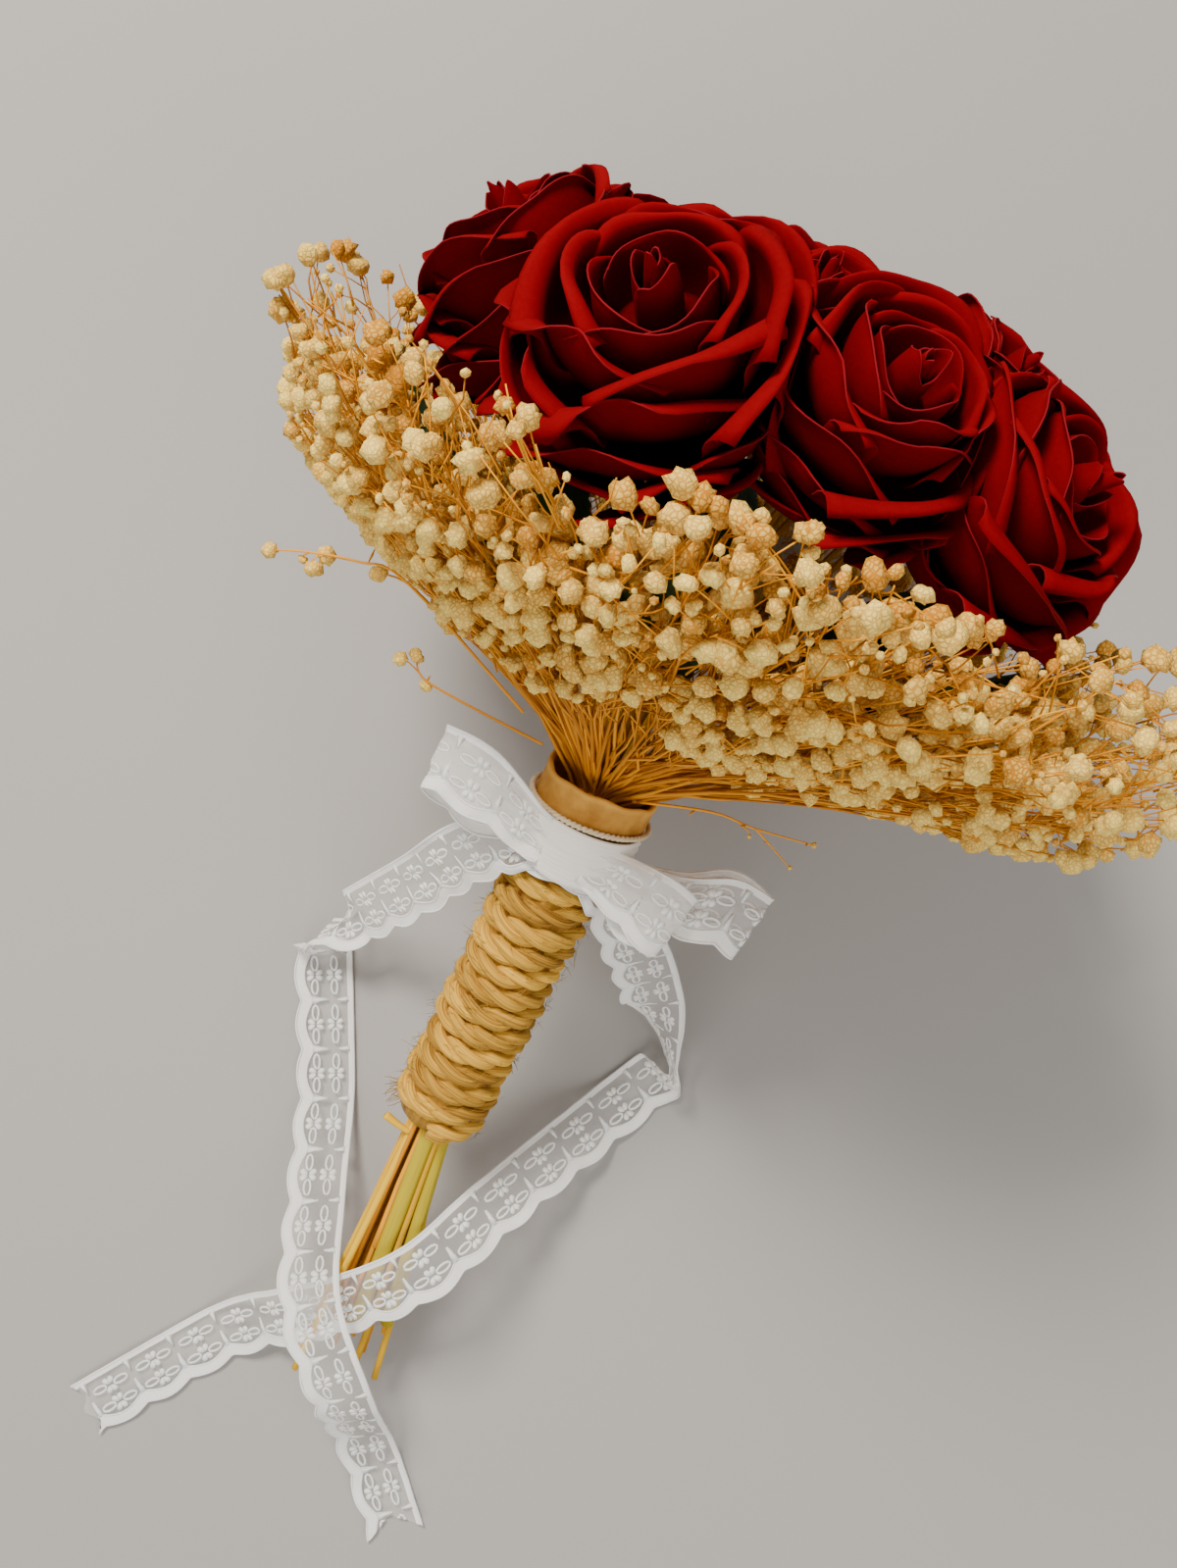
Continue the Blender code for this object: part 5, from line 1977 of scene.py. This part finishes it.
@dataclass
class Bow:
    """The band round the handle, the folded middle, the loops and the tails."""

    posture: Posture
    trim: LaceTrim
    band_radius: float = 0.0189
    band_middle: float = -0.0162
    fold_radius: float = 0.0209
    fold_thickness: float = 0.0021
    fold_reach: float = math.radians(77.0)

    def band(self) -> Ribbon:
        """Wind the gathered band round the handle.

        Returns:
            The ribbon.
        """
        turns = np.linspace(0.0, 1.0, 110)
        phase = TAU * (turns + 0.5)
        ring = self.band_radius + 0.0002 * turns
        along = self.band_middle + 0.0 * turns
        centre = self.posture.place(ring * np.sin(phase), along, ring * np.cos(phase))
        run = distance_run(centre)
        side = np.broadcast_to(self.posture.way(0.0, -1.0, 0.0), centre.shape)
        ones = np.ones(len(run))
        return Ribbon(self.trim, run, centre, side, 0.86 * ones, 0.0002 * ones, 4.2, 0.0001,
                      0.9)

    def knot(self, finishes: dict) -> bpy.types.Object:
        """Lay the folded middle of the bow over the handle, from loop to loop.

        Args:
            finishes: the materials by name.

        Returns:
            The piece.
        """
        rings = 61
        shape = unit_tube(rings, 40)
        x, y, z = shape.points.T
        # The lace lies over the handle and thins and ripples towards both ends.
        phase = (z / (rings - 1.0) * 2.0 - 1.0) * self.fold_reach
        top = -0.0041 - 0.0003 * np.sin(phase)
        bottom = -0.0230 - 0.0014 * np.sin(phase) - 0.0008 * np.cos(3.0 * phase)
        across = np.sign(y) * np.abs(y) ** 0.75
        along = (top + bottom) / 2.0 + (top - bottom) / 2.0 * across
        end = smooth((np.abs(phase) / self.fold_reach - 0.35) / 0.65)
        thick = np.sign(x) * np.abs(x) ** 0.45 * self.fold_thickness / 2.0 * (1.0 - 0.75 * end)
        folds = 0.55 * np.sin(21.0 * across + 1.6 * phase) + 0.45 * np.sin(
            34.0 * across - 2.3 * phase + 1.0)
        ripple = (0.00022 + 0.00026 * end) * folds + 0.0004 * np.sin(2.4 * across + phase)
        radius = self.fold_radius - 0.0005 * end + thick + np.where(x > 0.0, ripple, 0.0)
        basket = Basket()
        grain = np.column_stack([along * GRAIN_SCALE, phase * 2.1, 0.0 * phase])
        # The tone follows the folds: painted light on their crests and painted shade between them.
        basket.add(self.posture.place(radius * np.sin(phase), along, radius * np.cos(phase)),
                   shape.faces, 0.62 + 0.30 * folds * (0.4 + end), grain)
        obj = basket.piece("bow_knot_wrap", [finishes["lace_folded"]])
        return settle_in(obj, "white_lace", "bow_knot")

    def dress(self, finishes: dict) -> None:
        """Make every piece of the bow.

        Args:
            finishes: the materials by name.
        """
        net, thick = finishes["lace_net"], finishes["lace_gathered"]
        thread = finishes["lace_thread"]
        self.band().dress("band", thick, thread, "gathered", ["jute_rope_strands"],
                          ["lace_band"])
        self.knot(finishes)
        for loop in LOOPS:
            loop.ribbon(self.posture, self.trim).dress(
                loop.name, thick if loop.gathered else net, thread, "gathered",
                ["bow_knot_wrap"], [loop.node])
        for tail in TAILS:
            tail.ribbon(self.posture, self.trim).dress(
                tail.name, net, thread, "laid", ["bow_knot_wrap"], [tail.node])


# ---- studio --------------------------------------------------------------------------

@dataclass(frozen=True)
class Lamp:
    """A soft square lamp: its place, size, power and colour."""

    name: str
    place: tuple[float, float, float]
    size: float
    power: float
    colour: tuple[float, float, float]


LAMPS = (
    Lamp("key", (-0.75, 0.75, 1.25), 0.45, 37.0, (1.0, 0.93, 0.83)),
    Lamp("fill", (0.95, -0.25, 1.05), 1.0, 7.0, (1.0, 0.95, 0.90)),
    Lamp("front", (-0.2, -1.1, 0.9), 0.9, 8.0, (1.0, 0.95, 0.89)),
)
LAMP_AIM = np.array([0.0, 0.05, 0.08])    # the bouquet's middle, in the frame
PALE_FLOOR = Finish("pale_floor", (0.40, 0.39, 0.38), (0.44, 0.43, 0.42), 0.9, 0.1, 6.0)


@dataclass
class Studio:
    """The pale floor, the soft lights and the camera that looks straight down."""

    posture: Posture
    camera_height: float = 0.54
    lens: float = 30.39
    roll: float = math.radians(24.4)
    offset: tuple[float, float] = (-0.0039, 0.0038)
    sensor: float = 36.0
    floor_reach: float = 2.5

    def camera(self) -> None:
        """Hang the camera above the bouquet."""
        data = bpy.data.cameras.new("camera")
        data.lens = self.lens
        data.sensor_width = self.sensor
        camera = bpy.data.objects.new("camera", data)
        tie = self.posture.place(0.0, 0.0, 0.0)
        camera.location = (
            tie[0] + self.offset[0], tie[1] + self.offset[1],
            self.camera_height + self.posture.shift[2])
        camera.rotation_euler = (0.0, 0.0, self.roll)
        bpy.context.scene.collection.objects.link(camera)
        bpy.context.scene.camera = camera

    def light(self, lamp: Lamp) -> None:
        """Hang one soft lamp that points at the middle of the bouquet.

        Args:
            lamp: the lamp.
        """
        data = bpy.data.lights.new(lamp.name, "AREA")
        data.size = lamp.size
        data.energy = lamp.power
        data.color = lamp.colour
        hung = bpy.data.objects.new(lamp.name, data)
        hung.location = lamp.place
        aim = LAMP_AIM - np.array(lamp.place)
        pitch = math.acos(-aim[2] / np.linalg.norm(aim))
        hung.rotation_euler = (pitch, 0.0, math.atan2(aim[1], aim[0]) - math.pi / 2.0)
        bpy.context.scene.collection.objects.link(hung)

    def floor(self) -> None:
        """Lay the pale floor."""
        bm = bmesh.new()
        bmesh.ops.create_grid(bm, x_segments=1, y_segments=1, size=self.floor_reach)
        mesh = bpy.data.meshes.new("floor")
        bm.to_mesh(mesh)
        bm.free()
        mesh.materials.append(PALE_FLOOR.make())
        floor = bpy.data.objects.new("floor", mesh)
        bpy.context.scene.collection.objects.link(floor)

    def dress(self) -> None:
        """Set the stage."""
        self.floor()
        for lamp in LAMPS:
            self.light(lamp)
        world = bpy.data.worlds.new("studio")
        bpy.context.scene.world = world
        world.use_nodes = True
        back = world.node_tree.nodes["Background"]
        back.inputs["Color"].default_value = (1.0, 0.97, 0.94, 1.0)
        back.inputs["Strength"].default_value = 0.35


def dress_cad(finishes: dict) -> None:
    """Give the CAD nodes that stay in view their finish.

    Args:
        finishes: the materials by name.
    """
    for name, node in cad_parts.items():
        if name.startswith("rose_stem_"):
            finish = finishes["golden_stem"]
        elif name == "binding_tape":
            finish = finishes["tape"]
        else:
            continue
        for slot in node.material_slots:
            slot.material = finish


def main() -> None:
    """Build the bouquet piece by piece."""
    logging.basicConfig(level=logging.INFO, format="%(message)s")
    posture = Posture.from_frame()
    studio = Studio(posture)
    studio.camera()
    studio.dress()
    finishes = {finish.name: finish.make() for finish in FINISHES}
    roses = [Rose(posture, where, ROSE_SEED + index) for index, where in enumerate(ROSE_PLACES)]
    for rose in roses:
        rose.dress([other for other in roses if other is not rose], finishes)
    for index in range(BlossomSpray.count):
        BlossomSpray(posture, index).dress(finishes)
    StraySprigs(posture).dress(finishes)
    for index, turn in enumerate(LEAF_TURNS):
        Leaf(posture, index + 1, turn).dress(finishes)
    handle = Handle(posture)
    handle.rope(finishes)
    handle.collar(finishes)
    handle.cord(finishes)
    handle.stems(finishes)
    Bow(posture, LaceTrim()).dress(finishes)
    dress_cad(finishes)


if __name__ == "__main__":
    main()
